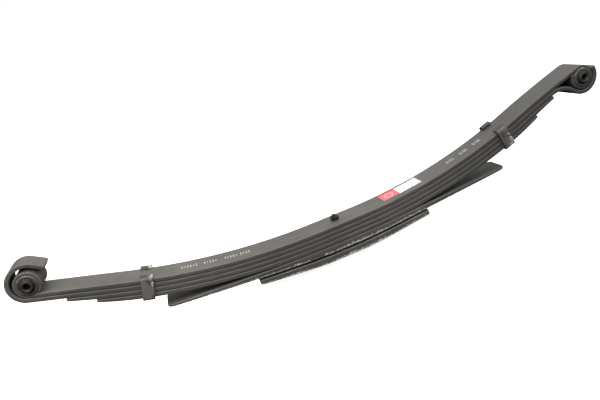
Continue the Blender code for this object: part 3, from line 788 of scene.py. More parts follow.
def bar_tree():
    """Geometry Nodes: a bar with rounded long edges that follows a chain of guide points."""
    found = bpy.data.node_groups.get("bar_on_guide")
    if found:
        return found
    inputs = (
        ("Across", "NodeSocketVector", tuple(ACROSS)),
        ("Edge Rounding", "NodeSocketFloat", 2.4 * MM),
        ("Support Distance", "NodeSocketFloat", 0.6 * MM),
        ("Corner Steps", "NodeSocketInt", 4),
        ("Material", "NodeSocketMaterial", None),
    )
    tree = new_group("bar_on_guide", inputs)
    source = add(tree, "NodeGroupInput").outputs
    guide, steps = source["Geometry"], source["Corner Steps"]
    rows = add(tree, "GeometryNodeAttributeDomainSize", {"Geometry": guide}, component="MESH")
    per_corner = add(tree, "FunctionNodeIntegerMath", {0: steps, 1: 3}, operation="ADD")
    around = add(tree, "FunctionNodeIntegerMath", {0: per_corner, 1: 4}, operation="MULTIPLY")
    section = add(tree, "FunctionNodeIntegerMath", {0: around, 1: 1}, operation="ADD")
    sheet = {"Vertices X": rows.outputs["Point Count"], "Vertices Y": section}
    grid = add(tree, "GeometryNodeMeshGrid", sheet)
    index = add(tree, "GeometryNodeInputIndex")
    row = add(tree, "FunctionNodeIntegerMath", {0: index, 1: section}, operation="DIVIDE_FLOOR")
    column = add(tree, "FunctionNodeIntegerMath", {0: index, 1: section}, operation="MODULO")
    corner = add(tree, "FunctionNodeIntegerMath", {0: column, 1: per_corner}, operation="DIVIDE_FLOOR")
    step = add(tree, "FunctionNodeIntegerMath", {0: column, 1: per_corner}, operation="MODULO")
    # Each corner is a support point, an arc, and a second support point.
    before = add(tree, "ShaderNodeMath", {0: step, 1: 1.0}, operation="SUBTRACT")
    raw = add(tree, "ShaderNodeMath", {0: before, 1: steps}, operation="DIVIDE")
    share = add(tree, "ShaderNodeClamp", {"Value": raw})
    beyond = add(tree, "ShaderNodeMath", {0: raw, 1: share}, operation="SUBTRACT")
    counted = add(tree, "ShaderNodeMath", {0: beyond, 1: steps}, operation="MULTIPLY")
    slide = add(tree, "ShaderNodeMath", {0: counted, 1: source["Support Distance"]}, operation="MULTIPLY")
    turn = add(tree, "ShaderNodeMath", {0: corner, 1: share}, operation="ADD")
    angle = add(tree, "ShaderNodeMath", {0: turn, 1: math.pi / 2.0}, operation="MULTIPLY")
    middle = add(tree, "ShaderNodeMath", {0: corner, 1: 0.5}, operation="ADD")
    diagonal = add(tree, "ShaderNodeMath", {0: middle, 1: math.pi / 2.0}, operation="MULTIPLY")
    cosine = add(tree, "ShaderNodeMath", {0: angle}, operation="COSINE")
    sine = add(tree, "ShaderNodeMath", {0: angle}, operation="SINE")
    sampled = {}
    place = add(tree, "GeometryNodeInputPosition")
    for label, kind in (
        ("rise", "FLOAT_VECTOR"), ("half_width", "FLOAT"), ("inset", "FLOAT"), ("cap", "FLOAT")
    ):
        value = add(tree, "GeometryNodeInputNamedAttribute", {"Name": label}, data_type=kind)
        asked = {"Geometry": guide, "Value": value, "Index": row}
        sampled[label] = add(tree, "GeometryNodeSampleIndex", asked, data_type=kind)
    asked = {"Geometry": guide, "Value": place, "Index": row}
    low = add(tree, "GeometryNodeSampleIndex", asked, data_type="FLOAT_VECTOR")
    thickness = add(tree, "ShaderNodeVectorMath", {0: sampled["rise"]}, operation="LENGTH")
    half_thick = add(tree, "ShaderNodeMath", {0: thickness.outputs["Value"], 1: 0.5}, operation="MULTIPLY")
    # Where a bar thins to a scarf its edges are rounded less.
    most = add(tree, "ShaderNodeMath", {0: half_thick, 1: 0.8}, operation="MULTIPLY")
    rounding = add(tree, "ShaderNodeMath", {0: most, 1: source["Edge Rounding"]}, operation="MINIMUM")
    offsets = []
    for size, sign_of, along, across in (
        (sampled["half_width"], "COSINE", cosine, sine),
        (half_thick, "SINE", sine, cosine),
    ):
        slope = add(tree, "ShaderNodeMath", {0: diagonal}, operation=sign_of)
        sign = add(tree, "ShaderNodeMath", {0: slope}, operation="SIGN")
        shrunk = add(tree, "ShaderNodeMath", {0: size, 1: sampled["inset"]}, operation="SUBTRACT")
        flat = add(tree, "ShaderNodeMath", {0: shrunk, 1: rounding}, operation="SUBTRACT")
        centre = add(tree, "ShaderNodeMath", {0: sign, 1: flat}, operation="MULTIPLY")
        edge = add(tree, "ShaderNodeMath", {0: along, 1: rounding, 2: centre}, operation="MULTIPLY_ADD")
        forward = add(tree, "ShaderNodeMath", {0: across, 1: slide}, operation="MULTIPLY")
        joined = "SUBTRACT" if sign_of == "COSINE" else "ADD"
        moved = add(tree, "ShaderNodeMath", {0: edge, 1: forward}, operation=joined)
        kept = add(tree, "ShaderNodeMath", {0: 1.0, 1: sampled["cap"]}, operation="SUBTRACT")
        offsets.append(add(tree, "ShaderNodeMath", {0: moved, 1: kept}, operation="MULTIPLY"))
    up = add(tree, "ShaderNodeVectorMath", {0: sampled["rise"]}, operation="NORMALIZE")
    sideways = add(
        tree, "ShaderNodeVectorMath", {0: source["Across"], "Scale": offsets[0]}, operation="SCALE"
    )
    upwards = add(tree, "ShaderNodeVectorMath", {0: up, "Scale": offsets[1]}, operation="SCALE")
    half_rise = add(tree, "ShaderNodeVectorMath", {0: sampled["rise"], "Scale": 0.5}, operation="SCALE")
    core = add(tree, "ShaderNodeVectorMath", {0: low, 1: half_rise}, operation="ADD")
    widened = add(tree, "ShaderNodeVectorMath", {0: core, 1: sideways}, operation="ADD")
    final = add(tree, "ShaderNodeVectorMath", {0: widened, 1: upwards}, operation="ADD")
    # The paint reads how high on the section a point lies, from -1 at the bottom to 1 at the top.
    level = add(tree, "ShaderNodeMath", {0: offsets[1], 1: half_thick}, operation="DIVIDE")
    stored = {"Geometry": grid, "Name": "rise_share", "Value": level}
    marked = add(tree, "GeometryNodeStoreNamedAttribute", stored)
    shaped = add(tree, "GeometryNodeSetPosition", {"Geometry": marked, "Position": final})
    closed = add(tree, "GeometryNodeMergeByDistance", {"Geometry": shaped, "Distance": 1e-5})
    finish_group(tree, closed, source["Material"])
    return tree


def bar(name, rows, material, rounding, bevel, across=ACROSS, world=to_world):
    """A finished bar from its rows."""
    sizes = bpy.context.scene.spring_leaf_sizes
    values = {
        "Across": tuple(across),
        "Edge Rounding": rounding,
        "Corner Steps": sizes.corner_steps,
        "Material": material,
    }
    obj = grow(bar_tree(), guide_mesh(name + "_guide", rows, bevel, world), name, values)
    tidy_mesh(obj.data)
    return obj


def upright(station, height):
    """A matrix that stands an upright piece on the leaf at this distance from the centre bolt."""
    point, _, normal = curve_frame(station)
    lean = math.atan2(normal.x, normal.y)
    return Matrix.Translation(to_world(point + normal * height)) @ Matrix.Rotation(lean, 4, "Y")


def drill(obj, radius, cut_length, place):
    """Cuts a round hole and leaves a plain mesh."""
    builder = bmesh.new()
    bmesh.ops.create_cone(
        builder, cap_ends=True, segments=48, radius1=radius, radius2=radius, depth=cut_length, matrix=place
    )
    mesh = bpy.data.meshes.new(obj.name + "_drill")
    builder.to_mesh(mesh)
    builder.free()
    cutter = new_object(obj.name + "_drill", mesh)
    boolean = obj.modifiers.new("drill", "BOOLEAN")
    boolean.operation = "DIFFERENCE"
    boolean.solver = "EXACT"
    boolean.object = cutter
    evaluated = obj.evaluated_get(bpy.context.evaluated_depsgraph_get())
    cut = bpy.data.meshes.new_from_object(evaluated)
    obj.modifiers.clear()
    obj.data = cut
    bpy.data.objects.remove(cutter)
    for polygon in cut.polygons:
        polygon.use_smooth = True
    cut.set_sharp_from_angle(angle=math.radians(32.0))


class SPRING_OT_leaves(Operator):
    """Four leaves of the pack and the two helper leaves"""

    bl_idname = "spring.leaves"
    bl_label = "Leaves"

    def execute(self, context):
        sizes = context.scene.spring_leaf_sizes
        clean = chassis_paint("satin_chassis_paint_on_rolled_steel", 0.24, 0.16, 0.12, 1.0)
        rough = chassis_paint("chipped_chassis_paint_on_rolled_steel", 0.30, 0.48, 0.25, 0.95)
        third = plain_rows(even_stations(-THIRD_LENGTHS[0], THIRD_LENGTHS[1]), third_bottom, third_top)
        fourth = plain_rows(even_stations(-FOURTH_LENGTHS[0], FOURTH_LENGTHS[1]), fourth_bottom, fourth_top)
        upper = helper_rows(UPPER_HELPER, HELPER_CORNER, upper_helper_bottom, upper_helper_top)
        lower = helper_rows(LOWER_HELPER, HELPER_CORNER / 2.0, lower_helper_bottom, lower_helper_top)
        for name, rows, paint, middle in (
            ("main_leaf", main_leaf_rows(), clean, main_top(0.0) / 2.0),
            ("wrapper_leaf", wrapper_leaf_rows(), clean, wrapper_bottom(0.0) / 2.0),
            ("third_leaf", third, clean, third_bottom(0.0)),
            ("fourth_leaf", fourth, clean, fourth_bottom(0.0)),
            ("upper_helper_leaf", upper, rough, upper_helper_bottom(0.0)),
            ("lower_helper_leaf", lower, rough, lower_helper_bottom(0.0)),
        ):
            leaf = bar(name + "_finished", rows, paint, sizes.edge_rounding, sizes.end_bevel)
            drill(leaf, BOLT_HOLE, LEAF_CUT, upright(0.0, middle))
            if name == "fourth_leaf":
                for side in (-1, 1):
                    station = side * context.scene.spring_small_sizes.clip_station
                    drill(leaf, RIVET_HOLE, RIVET_CUT, upright(station, fourth_top(station) - 5.0 * MM))
            stand_for(leaf, name, PACK, "spring_paint")
        return {"FINISHED"}


# ---- Turned pieces: bushes, bolt, nut, rivets. ----

SLEEVE_WALL = 1.8 * MM
HANGER_BORE = 7.0 * MM
THREAD_DEPTH = 0.75 * MM
NUT_FLATS = 17.0 * MM
NUT_TURN = math.radians(8.0)
BOLT_HEAD_RADIUS = 8.5 * MM
RIVET_HEAD_RADIUS = 8.5 * MM
RIVET_HEAD_HEIGHT = 3.5 * MM
# Small flats that close a turned body at its middle.
BOLT_TIP_FLAT = 1.5 * MM
RIVET_TIP_FLAT = 0.8 * MM


def turned(name, profile, segments, closed, place, material, sharp_angle=32.0):
    """A body turned about its own Z from (radius, height) points; a radius may be a function of the angle."""
    builder = bmesh.new()
    rings = []
    for radius, height in profile:
        ring = []
        for i in range(segments):
            angle = 2.0 * math.pi * i / segments
            reach = radius(angle) if callable(radius) else radius
            point = Vector((reach * math.cos(angle), reach * math.sin(angle), height))
            ring.append(builder.verts.new(place @ point))
        rings.append(ring)
    pairs = list(zip(rings, rings[1:]))
    if closed:
        pairs.append((rings[-1], rings[0]))
    for first, second in pairs:
        for i in range(segments):
            j = (i + 1) % segments
            builder.faces.new((first[i], first[j], second[j], second[i]))
    if not closed:
        builder.faces.new(rings[0][::-1])
        builder.faces.new(rings[-1])
    mesh = bpy.data.meshes.new(name)
    builder.to_mesh(mesh)
    builder.free()
    mesh.materials.append(material)
    obj = new_object(name, mesh)
    tidy_mesh(mesh, sharp_angle)
    return obj


def fillet(centre, radius, start, sweep, steps=6):
    """Profile points round a corner; angles in degrees, 0 outwards and 90 upwards."""
    points = []
    for i in range(steps + 1):
        angle = math.radians(start + sweep * i / steps)
        points.append((centre[0] + radius * math.cos(angle), centre[1] + radius * math.sin(angle)))
    return points


def sleeve_profile(inner, outer, lip, face, lip_face):
    """The outer sleeve: a plain tube with a domed lip over the near face of the eye."""
    roll = 0.9 * MM
    foot = face + GAP + 0.2 * MM
    profile = [(inner + 0.3 * MM, -face), (outer - 0.5 * MM, -face)]
    profile += [(outer, -face + 0.5 * MM), (outer, face + GAP), (lip - 0.2 * MM, face + GAP)]
    # The lip is domed, from its rim up to the ring round the bore.
    for i in range(11):
        angle = math.radians(9.0 * i)
        across = (lip - inner - roll) * math.cos(angle)
        profile.append((inner + roll + across, foot + (lip_face - foot) * math.sin(angle)))
    profile += fillet((inner + roll, lip_face - roll), roll, 90.0, 90.0)[1:]
    return profile + [(inner, -face + 0.3 * MM)]


def rubber_profile(inner, outer, end):
    """The rubber: each end bulges round the inner sleeve, dips and meets the outer sleeve in a thin web."""
    height = end - half_width
    # Share of the way out, and share of the bulge's height.
    crown = [(0.0, 0.80), (0.10, 0.96), (0.24, 1.0), (0.42, 0.92)]
    dip = [(0.60, 0.66), (0.76, 0.40), (0.90, 0.30), (1.0, 0.22)]
    far = [(inner + (outer - inner) * s, half_width + height * h) for s, h in crown + dip]
    near = [(radius, -z) for radius, z in far]
    return near + far[::-1]


def inner_sleeve_profile(bore, outer, end):
    """The inner sleeve: a thick tube, chamfered inside and out, with a shallow groove in each face."""
    middle = (bore + outer) / 2.0
    groove = 0.5 * MM
    face = [
        (bore, end - 0.9 * MM),
        (bore + 0.9 * MM, end),
        (middle - 0.7 * MM, end),
        (middle - 0.3 * MM, end - groove),
        (middle + 0.3 * MM, end - groove),
        (middle + 0.7 * MM, end),
        (outer - 0.8 * MM, end),
        (outer, end - 0.8 * MM),
    ]
    return [(radius, -z) for radius, z in face] + face[::-1]


class SPRING_OT_bushes(Operator):
    """The bonded bush in each eye: outer sleeve, rubber and inner sleeve"""

    bl_idname = "spring.bushes"
    bl_label = "Bushes"

    def execute(self, context):
        colours = context.scene.spring_colours
        # Black-passivated pressed steel, oiled: half glossy, so its domed lip catches a crescent of light.
        tone, rubbed = tuple(colours.sleeve), linear("#b9b5ad")
        plated = worn_steel("black_passivated_pressed_steel", tone, 0.4, 0.26, rubbed, 0.13, 75.0)
        # Machined steel left bare and oiled: darker, with turning marks lost in the oil.
        tone, rubbed = linear("#595754"), linear("#8a8781")
        machined = worn_steel("oiled_machined_steel", tone, 0.6, 0.45, rubbed, 0.10, 90.0)
        rubber = moulded_rubber("moulded_black_rubber")
        segments = 96
        for side in ("left", "right"):
            low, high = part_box(side + "_bush_inner_sleeve")
            centre = (low + high) / 2.0
            end = box_width(side + "_bush_inner_sleeve", 1) / 2.0
            place = Matrix.Translation((centre.x, 0.0, centre.z)) @ Matrix.Rotation(
                math.radians(90.0), 4, "X"
            )
            inner_radius = box_width(side + "_bush_inner_sleeve", 2) / 2.0
            rubber_end = box_width(side + "_bush_rubber", 1) / 2.0
            rubber_outer = box_width(side + "_bush_rubber", 2) / 2.0
            lip = box_width(side + "_bush_outer_sleeve", 2) / 2.0
            lip_face = -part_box(side + "_bush_outer_sleeve")[0].y
            sleeve_inner = rubber_outer + GAP
            sleeve = sleeve_profile(sleeve_inner, sleeve_inner + SLEEVE_WALL, lip, half_width, lip_face)
            core = inner_sleeve_profile(HANGER_BORE, inner_radius, end)
            filling = rubber_profile(inner_radius + GAP, rubber_outer, rubber_end)
            for part, profile, material, body, slot in (
                ("bush_outer_sleeve", sleeve, plated, PACK, "sleeve_steel"),
                ("bush_rubber", filling, rubber, PACK, "bush_rubber"),
                ("bush_inner_sleeve", core, machined, side + "_inner_sleeve", "sleeve_steel"),
            ):
                name = f"{side}_{part}"
                piece = turned(name + "_finished", profile, segments, True, place, material)
                stand_for(piece, name, body, slot)
        return {"FINISHED"}


def thread_radius(outer, depth, pitch, height):
    """A function of the angle that gives a screw thread's radius at this height."""

    def radius(angle):
        phase = (height / pitch - angle / (2.0 * math.pi)) % 1.0
        return outer - depth * abs(2.0 * phase - 1.0)

    return radius


def hex_radius(across_flats, chamfer_radius):
    """A function of the angle that gives a hexagon's radius, cut down to a chamfer cone's."""

    def radius(angle):
        turn = (angle + math.pi / 6.0) % (math.pi / 3.0) - math.pi / 6.0
        return min(across_flats / 2.0 / math.cos(turn), chamfer_radius)

    return radius


class SPRING_OT_centre_bolt(Operator):
    """The centre bolt and its nut, the plate between the helper leaves, and the clip rivets"""

    bl_idname = "spring.centre_bolt"
    bl_label = "Centre Bolt, Spacer and Rivets"

    def execute(self, context):
        colours = context.scene.spring_colours
        small = context.scene.spring_small_sizes
        # Black-oxide bolt steel: brown-black and half matt, rubbed brighter on its corners.
        oxide = worn_steel(
            "black_oxide_bolt_steel", tuple(colours.oxide), 0.6, 0.46, linear("#7d7a75"), 0.16, 140.0
        )
        low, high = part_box("centre_bolt")
        nut_low, nut_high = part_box("centre_nut")
        head_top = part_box("lower_helper_leaf")[0].z - GAP
        head = BOLT_HEAD_RADIUS
        profile = [(BOLT_TIP_FLAT, low.z), (head - 1.2 * MM, low.z)]
        profile += fillet((head - 1.2 * MM, low.z + 1.2 * MM), 1.2 * MM, -90.0, 90.0, 5)
        profile += [(head, head_top), (BOLT_RADIUS, head_top), (BOLT_RADIUS, nut_low.z - 3.0 * MM)]
        start = nut_low.z - 2.0 * MM
        rows = 72
        for i in range(rows + 1):
            height = start + (high.z - 0.6 * MM - start) * i / rows
            profile.append((thread_radius(BOLT_RADIUS, THREAD_DEPTH, small.thread_pitch, height), height))
        profile += [(BOLT_RADIUS - 1.2 * MM, high.z - 0.1 * MM), (BOLT_RADIUS - 1.6 * MM, high.z)]
        bolt = turned("centre_bolt_finished", profile, 64, False, Matrix.Identity(4), oxide, 50.0)
        stand_for(bolt, "centre_bolt", PACK, "bare_steel")
        corner = NUT_FLATS / math.sqrt(3.0)
        bore = BOLT_RADIUS + GAP
        edge = []
        for i in range(9):
            drop = 1.6 * MM * i / 8
            edge.append((hex_radius(NUT_FLATS, corner - 1.2 * MM * (1.0 - i / 8)), drop))
        profile = [(bore + 0.6 * MM, nut_low.z), (NUT_FLATS / 2.0 - 0.3 * MM, nut_low.z)]
        profile += [(radius, nut_low.z + drop + 0.1 * MM) for radius, drop in edge]
        profile += [(radius, nut_high.z - drop - 0.1 * MM) for radius, drop in reversed(edge)]
        profile += [(NUT_FLATS / 2.0 - 0.3 * MM, nut_high.z), (bore + 0.6 * MM, nut_high.z)]
        profile += [(bore, nut_high.z - 0.6 * MM), (bore, nut_low.z + 0.6 * MM)]
        nut = turned(
            "centre_nut_finished", profile, 120, True, Matrix.Rotation(NUT_TURN, 4, "Z"), oxide, 24.0
        )
        stand_for(nut, "centre_nut", PACK, "bare_steel")
        top = upper_helper_bottom(0.0) - GAP
        rows = [
            (Vector((x, top - SPACER_THICKNESS)), Vector((x, top)), half_width - 1.0 * MM)
            for x in (-SPACER_HALF, -SPACER_HALF / 2.0, 0.0, SPACER_HALF / 2.0, SPACER_HALF)
        ]
        spacer = bar("helper_spacer_finished", rows, oxide, 0.5 * MM, 0.4 * MM)
        drill(spacer, BOLT_HOLE, SPACER_CUT, upright(0.0, top - SPACER_THICKNESS / 2.0))
        stand_for(spacer, "helper_spacer", PACK, "bare_steel")
        self.rivets(small)
        return {"FINISHED"}

    def rivets(self, small):
        """A rivet through each clip and the fourth leaf, with a domed head below."""
        # Hot-closed rivet, painted over with the clip: dull black with a rubbed dome.
        painted = worn_steel(
            "painted_rivet_steel", linear("#4a4947"), 0.3, 0.5, linear("#86837e"), 0.14, 120.0
        )
        for side, name in ((-1, "left_clip_rivet"), (1, "right_clip_rivet")):
            station = side * small.clip_station
            under = fourth_bottom(station) - 2.0 * GAP - small.clip_thickness
            head, tall = RIVET_HEAD_RADIUS, RIVET_HEAD_HEIGHT
            profile = [(RIVET_TIP_FLAT, under - tall)]
            for i in range(1, 9):
                angle = math.radians(90.0 * i / 8)
                profile.append((head * math.sin(angle), under - tall * math.cos(angle) * 0.999))
            profile += [
                (head, under - 0.05 * MM), (RIVET_RADIUS, under), (RIVET_RADIUS, fourth_top(station) - GAP)
            ]
            rivet = turned(name + "_finished", profile, 48, False, upright(station, 0.0), painted)
            stand_for(rivet, name, PACK, "clip_steel")


# ---- Clips. ----

CLIP_SIDE_CLEARANCE = 0.6 * MM
CLIP_HEADROOM = {"left_clip": 1.0 * MM, "right_clip": 2.4 * MM}


def bend_row(centre, radius, start, steps=7):
    """A quarter turn in the strap, clockwise from the start angle in degrees."""
    return [
        Vector((centre[0] + radius * math.cos(a), centre[1] + radius * math.sin(a)))
        for a in (math.radians(start - 90.0 * i / steps) for i in range(steps + 1))
    ]


def strap_face(half_inside, bottom, top, offset, tab):
    """One face of the strap: from the far tab, down, under the leaves and up to the near tab."""
    bend = 2.5 * MM
    side, high, low = half_inside - bend, top - bend, bottom + bend
    radius = bend + offset
    reach = half_inside - tab
    row = [Vector((reach, top + offset)), Vector((side - 1.0 * MM, top + offset))]
    row += bend_row((side, high), radius, 90.0)
    row.append(Vector((half_inside + offset, (high + low) / 2.0)))
    row += bend_row((side, low), radius, 0.0)
    row.append(Vector((0.0, bottom - offset)))
    row += bend_row((-side, low), radius, -90.0)
    row.append(Vector((-half_inside - offset, (high + low) / 2.0)))
    row += bend_row((-side, high), radius, -180.0)
    row += [Vector((1.0 * MM - side, top + offset)), Vector((-reach, top + offset))]
    return row


class SPRING_OT_clips(Operator):
    """The two rebound clips bent round the pack"""

    bl_idname = "spring.clips"
    bl_label = "Clips"

    def execute(self, context):
        small = context.scene.spring_small_sizes
        for side, name in ((-1, "left_clip"), (1, "right_clip")):
            station = side * small.clip_station
            point, outward, normal = curve_frame(station)
            half_inside = half_width + CLIP_SIDE_CLEARANCE
            bottom = fourth_bottom(station) - GAP
            top = main_top(station) + CLIP_HEADROOM[name]
            offsets = (small.clip_thickness, 0.0)
            faces = [strap_face(half_inside, bottom, top, offset, small.clip_tab) for offset in offsets]
            rows = [(low, high, small.clip_width / 2.0) for low, high in zip(*faces)]
            strap = strap_steel(f"chipped_paint_on_{name}_strip_steel", to_world(point).x)
            world = self.placer(point, normal)
            across = Vector((outward.x, 0.0, outward.y))
            clip = bar(name + "_finished", rows, strap, 1.0 * MM, 0.6 * MM, across, world)
            drill(clip, RIVET_HOLE, CLIP_CUT, upright(station, bottom - 2.0 * MM))
            stand_for(clip, name, PACK, "clip_steel")
        return {"FINISHED"}

    @staticmethod
    def placer(point, normal):
        """Turns (across, up) of a clip's own section into the spring's frame."""

        def world(flat):
            return to_world(point + normal * flat.y, flat.x)

        return world


# ---- Stamped marks and label. ----

# Groups of ticks on the main leaf: distance from the centre bolt, number of ticks, and pitch, in millimetres.
MARK_GROUPS = {
    "left_marks": ((-354.0, 6, 6.2), (-305.0, 5, 6.2), (-259.0, 5, 6.0), (-224.0, 4, 6.0)),
    "right_marks": ((293.0, 4, 5.4), (331.0, 4, 5.4), (369.0, 4, 5.4)),
}
MARK_LIFT = 0.06 * MM
MARK_ACROSS = -2.0 * MM
LABEL_BACK = 0.03 * MM
LABEL_FACE = 0.20 * MM
LABEL_CORNER_LIFT = 0.5 * MM


def stroke_tree():
    """Geometry Nodes: a small raised stroke on each point, turned and sized by the point's attributes."""
    inputs = (
        ("Stroke Height", "NodeSocketFloat", 10.0 * MM),
        ("Stroke Width", "NodeSocketFloat", 1.5 * MM),
        ("Stroke Thickness", "NodeSocketFloat", 0.2 * MM),
        ("Material", "NodeSocketMaterial", None),
    )
    tree = new_group("strokes_on_points", inputs)
    source = add(tree, "NodeGroupInput").outputs
    size = {"X": source["Stroke Width"], "Y": source["Stroke Height"], "Z": source["Stroke Thickness"]}
    block = add(tree, "GeometryNodeMeshCube", {"Size": add(tree, "ShaderNodeCombineXYZ", size)})
    turn = add(tree, "GeometryNodeInputNamedAttribute", {"Name": "turn"}, data_type="FLOAT_VECTOR")
    stretch = add(tree, "GeometryNodeInputNamedAttribute", {"Name": "stretch"}, data_type="FLOAT_VECTOR")
    rotation = add(tree, "FunctionNodeEulerToRotation", {"Euler": turn})
    placed = {"Points": source["Geometry"], "Instance": block, "Rotation": rotation, "Scale": stretch}
    strokes = add(tree, "GeometryNodeInstanceOnPoints", placed)
    finish_group(tree, strokes, source["Material"])
    return tree


class SPRING_OT_marks(Operator):
    """Plain struck ticks on the top of the main leaf"""

    bl_idname = "spring.marks"
    bl_label = "Stamped Marks"

    def execute(self, context):
        small = context.scene.spring_small_sizes
        # Bare steel at the bottom of a struck mark, pale against the paint.
        struck = worn_steel("bare_struck_steel", linear("#c2bfb8"), 0.3, 0.5, linear("#e4e2dc"), 0.2, 200.0)
        tree = stroke_tree()
        for name, layout in MARK_GROUPS.items():
            points, turns, stretches = [], [], []
            for start, count, pitch in layout:
                for i in range(count):
                    self.stroke(points, turns, stretches, (start + i * pitch) * MM, i)
            mesh = bpy.data.meshes.new(name + "_points")
            mesh.from_pydata(points, [], [])
            for label, values in (("turn", turns), ("stretch", stretches)):
                attribute = mesh.attributes.new(label, "FLOAT_VECTOR", "POINT")
                for item, value in zip(attribute.data, values):
                    item.vector = value
            values = {
                "Stroke Height": small.mark_height, "Stroke Width": small.mark_width, "Material": struck
            }
            marks = grow(tree, mesh, name, values)
            tidy_mesh(marks.data)
            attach(marks, PACK)
        return {"FINISHED"}

    @staticmethod
    def stroke(points, turns, stretches, station, number):
        """One upright tick; every third one is short."""
        point, _, normal = curve_frame(station)
        lean = math.atan2(normal.x, normal.y)
        points.append(to_world(point + normal * (main_top(station) + MARK_LIFT), MARK_ACROSS))
        turns.append((0.0, lean, 0.0))
        stretches.append((1.0, 0.55 if number % 3 == 1 else 1.0, 1.0))


def label_paper(name):
    """Gloss-coated sticker paper: a red field, a white field with plain grey bars, faint handling grime."""
    colours = bpy.context.scene.spring_colours
    material, tree, shader = new_material(name)
    place = add(tree, "ShaderNodeUVMap", uv_map="print")
    parts = add(tree, "ShaderNodeSeparateXYZ", {"Vector": place})
    along, across = parts.outputs["X"], parts.outputs["Y"]
    red_end = add(tree, "ShaderNodeMath", {0: along, 1: 0.42}, operation="LESS_THAN")
    # Lines of print, four to the label's width, broken into bars of uneven length.
    lines = add(tree, "ShaderNodeMath", {0: across, 1: 4.0}, operation="MULTIPLY")
    line = add(tree, "ShaderNodeMath", {0: lines}, operation="FRACT")
    inked = add(tree, "ShaderNodeMath", {0: line, 1: 0.38}, operation="LESS_THAN")
    row = add(tree, "ShaderNodeMath", {0: lines}, operation="FLOOR")
    offset = add(tree, "ShaderNodeMath", {0: row, 1: 3.7}, operation="MULTIPLY")
    words = add(tree, "ShaderNodeMath", {0: along, 1: 26.0, 2: offset}, operation="MULTIPLY_ADD")
    broken = add(
        tree, "ShaderNodeTexNoise", {"W": words, "Scale": 0.8, "Detail": 0.0}, noise_dimensions="1D"
    )
    there = add(tree, "ShaderNodeMath", {0: broken, 1: 0.57}, operation="GREATER_THAN")
    text = add(tree, "ShaderNodeMath", {0: inked, 1: there}, operation="MULTIPLY")
    inside = add(tree, "ShaderNodeMath", {0: along, 1: 0.47}, operation="GREATER_THAN")
    short = add(tree, "ShaderNodeMath", {0: along, 1: 0.93}, operation="LESS_THAN")
    field = add(tree, "ShaderNodeMath", {0: inside, 1: short}, operation="MULTIPLY")
    print_mask = add(tree, "ShaderNodeMath", {0: text, 1: field}, operation="MULTIPLY")
    faded = add(tree, "ShaderNodeMath", {0: print_mask, 1: 0.75}, operation="MULTIPLY")
    white, grey, red = tuple(colours.label_white), tuple(colours.label_grey), tuple(colours.label_red)
    paper = add(tree, "ShaderNodeMix", {"Factor": faded, "A": white, "B": grey}, data_type="RGBA")
    # A plain ring in the red field stands where a mark would.
    centre = add(tree, "ShaderNodeVectorMath", {0: place, 1: (0.21, 0.5, 0.0)}, operation="SUBTRACT")
    stretched = add(tree, "ShaderNodeVectorMath", {0: centre, 1: (2.33, 1.0, 0.0)}, operation="MULTIPLY")
    reach = add(tree, "ShaderNodeVectorMath", {0: stretched}, operation="LENGTH")
    from_ring = add(tree, "ShaderNodeMath", {0: reach.outputs["Value"], 1: 0.24}, operation="SUBTRACT")
    near_ring = add(tree, "ShaderNodeMath", {0: from_ring}, operation="ABSOLUTE")
    ring = add(tree, "ShaderNodeMath", {0: near_ring, 1: 0.045}, operation="LESS_THAN")
    pale = add(tree, "ShaderNodeMath", {0: ring, 1: 0.4}, operation="MULTIPLY")
    ink = add(tree, "ShaderNodeMix", {"Factor": pale, "A": red, "B": white}, data_type="RGBA")
    printed = add(tree, "ShaderNodeMix", {"Factor": red_end, "A": paper, "B": ink}, data_type="RGBA")
    spots = add(tree, "ShaderNodeTexNoise", {"Vector": place, "Scale": 9.0, "Detail": 5.0})
    grime = add(
        tree, "ShaderNodeMapRange", {"Value": spots, "From Min": 0.5, "From Max": 0.85, "To Max": 0.2}
    )
    dirty = add(
        tree, "ShaderNodeMix", {"Factor": grime, "A": printed, "B": linear("#8d8a86")}, data_type="RGBA"
    )
    connect(tree, shader, {"Base Color": dirty})
    shader.inputs["Roughness"].default_value = 0.42
    shader.inputs["IOR"].default_value = 1.48
    return material


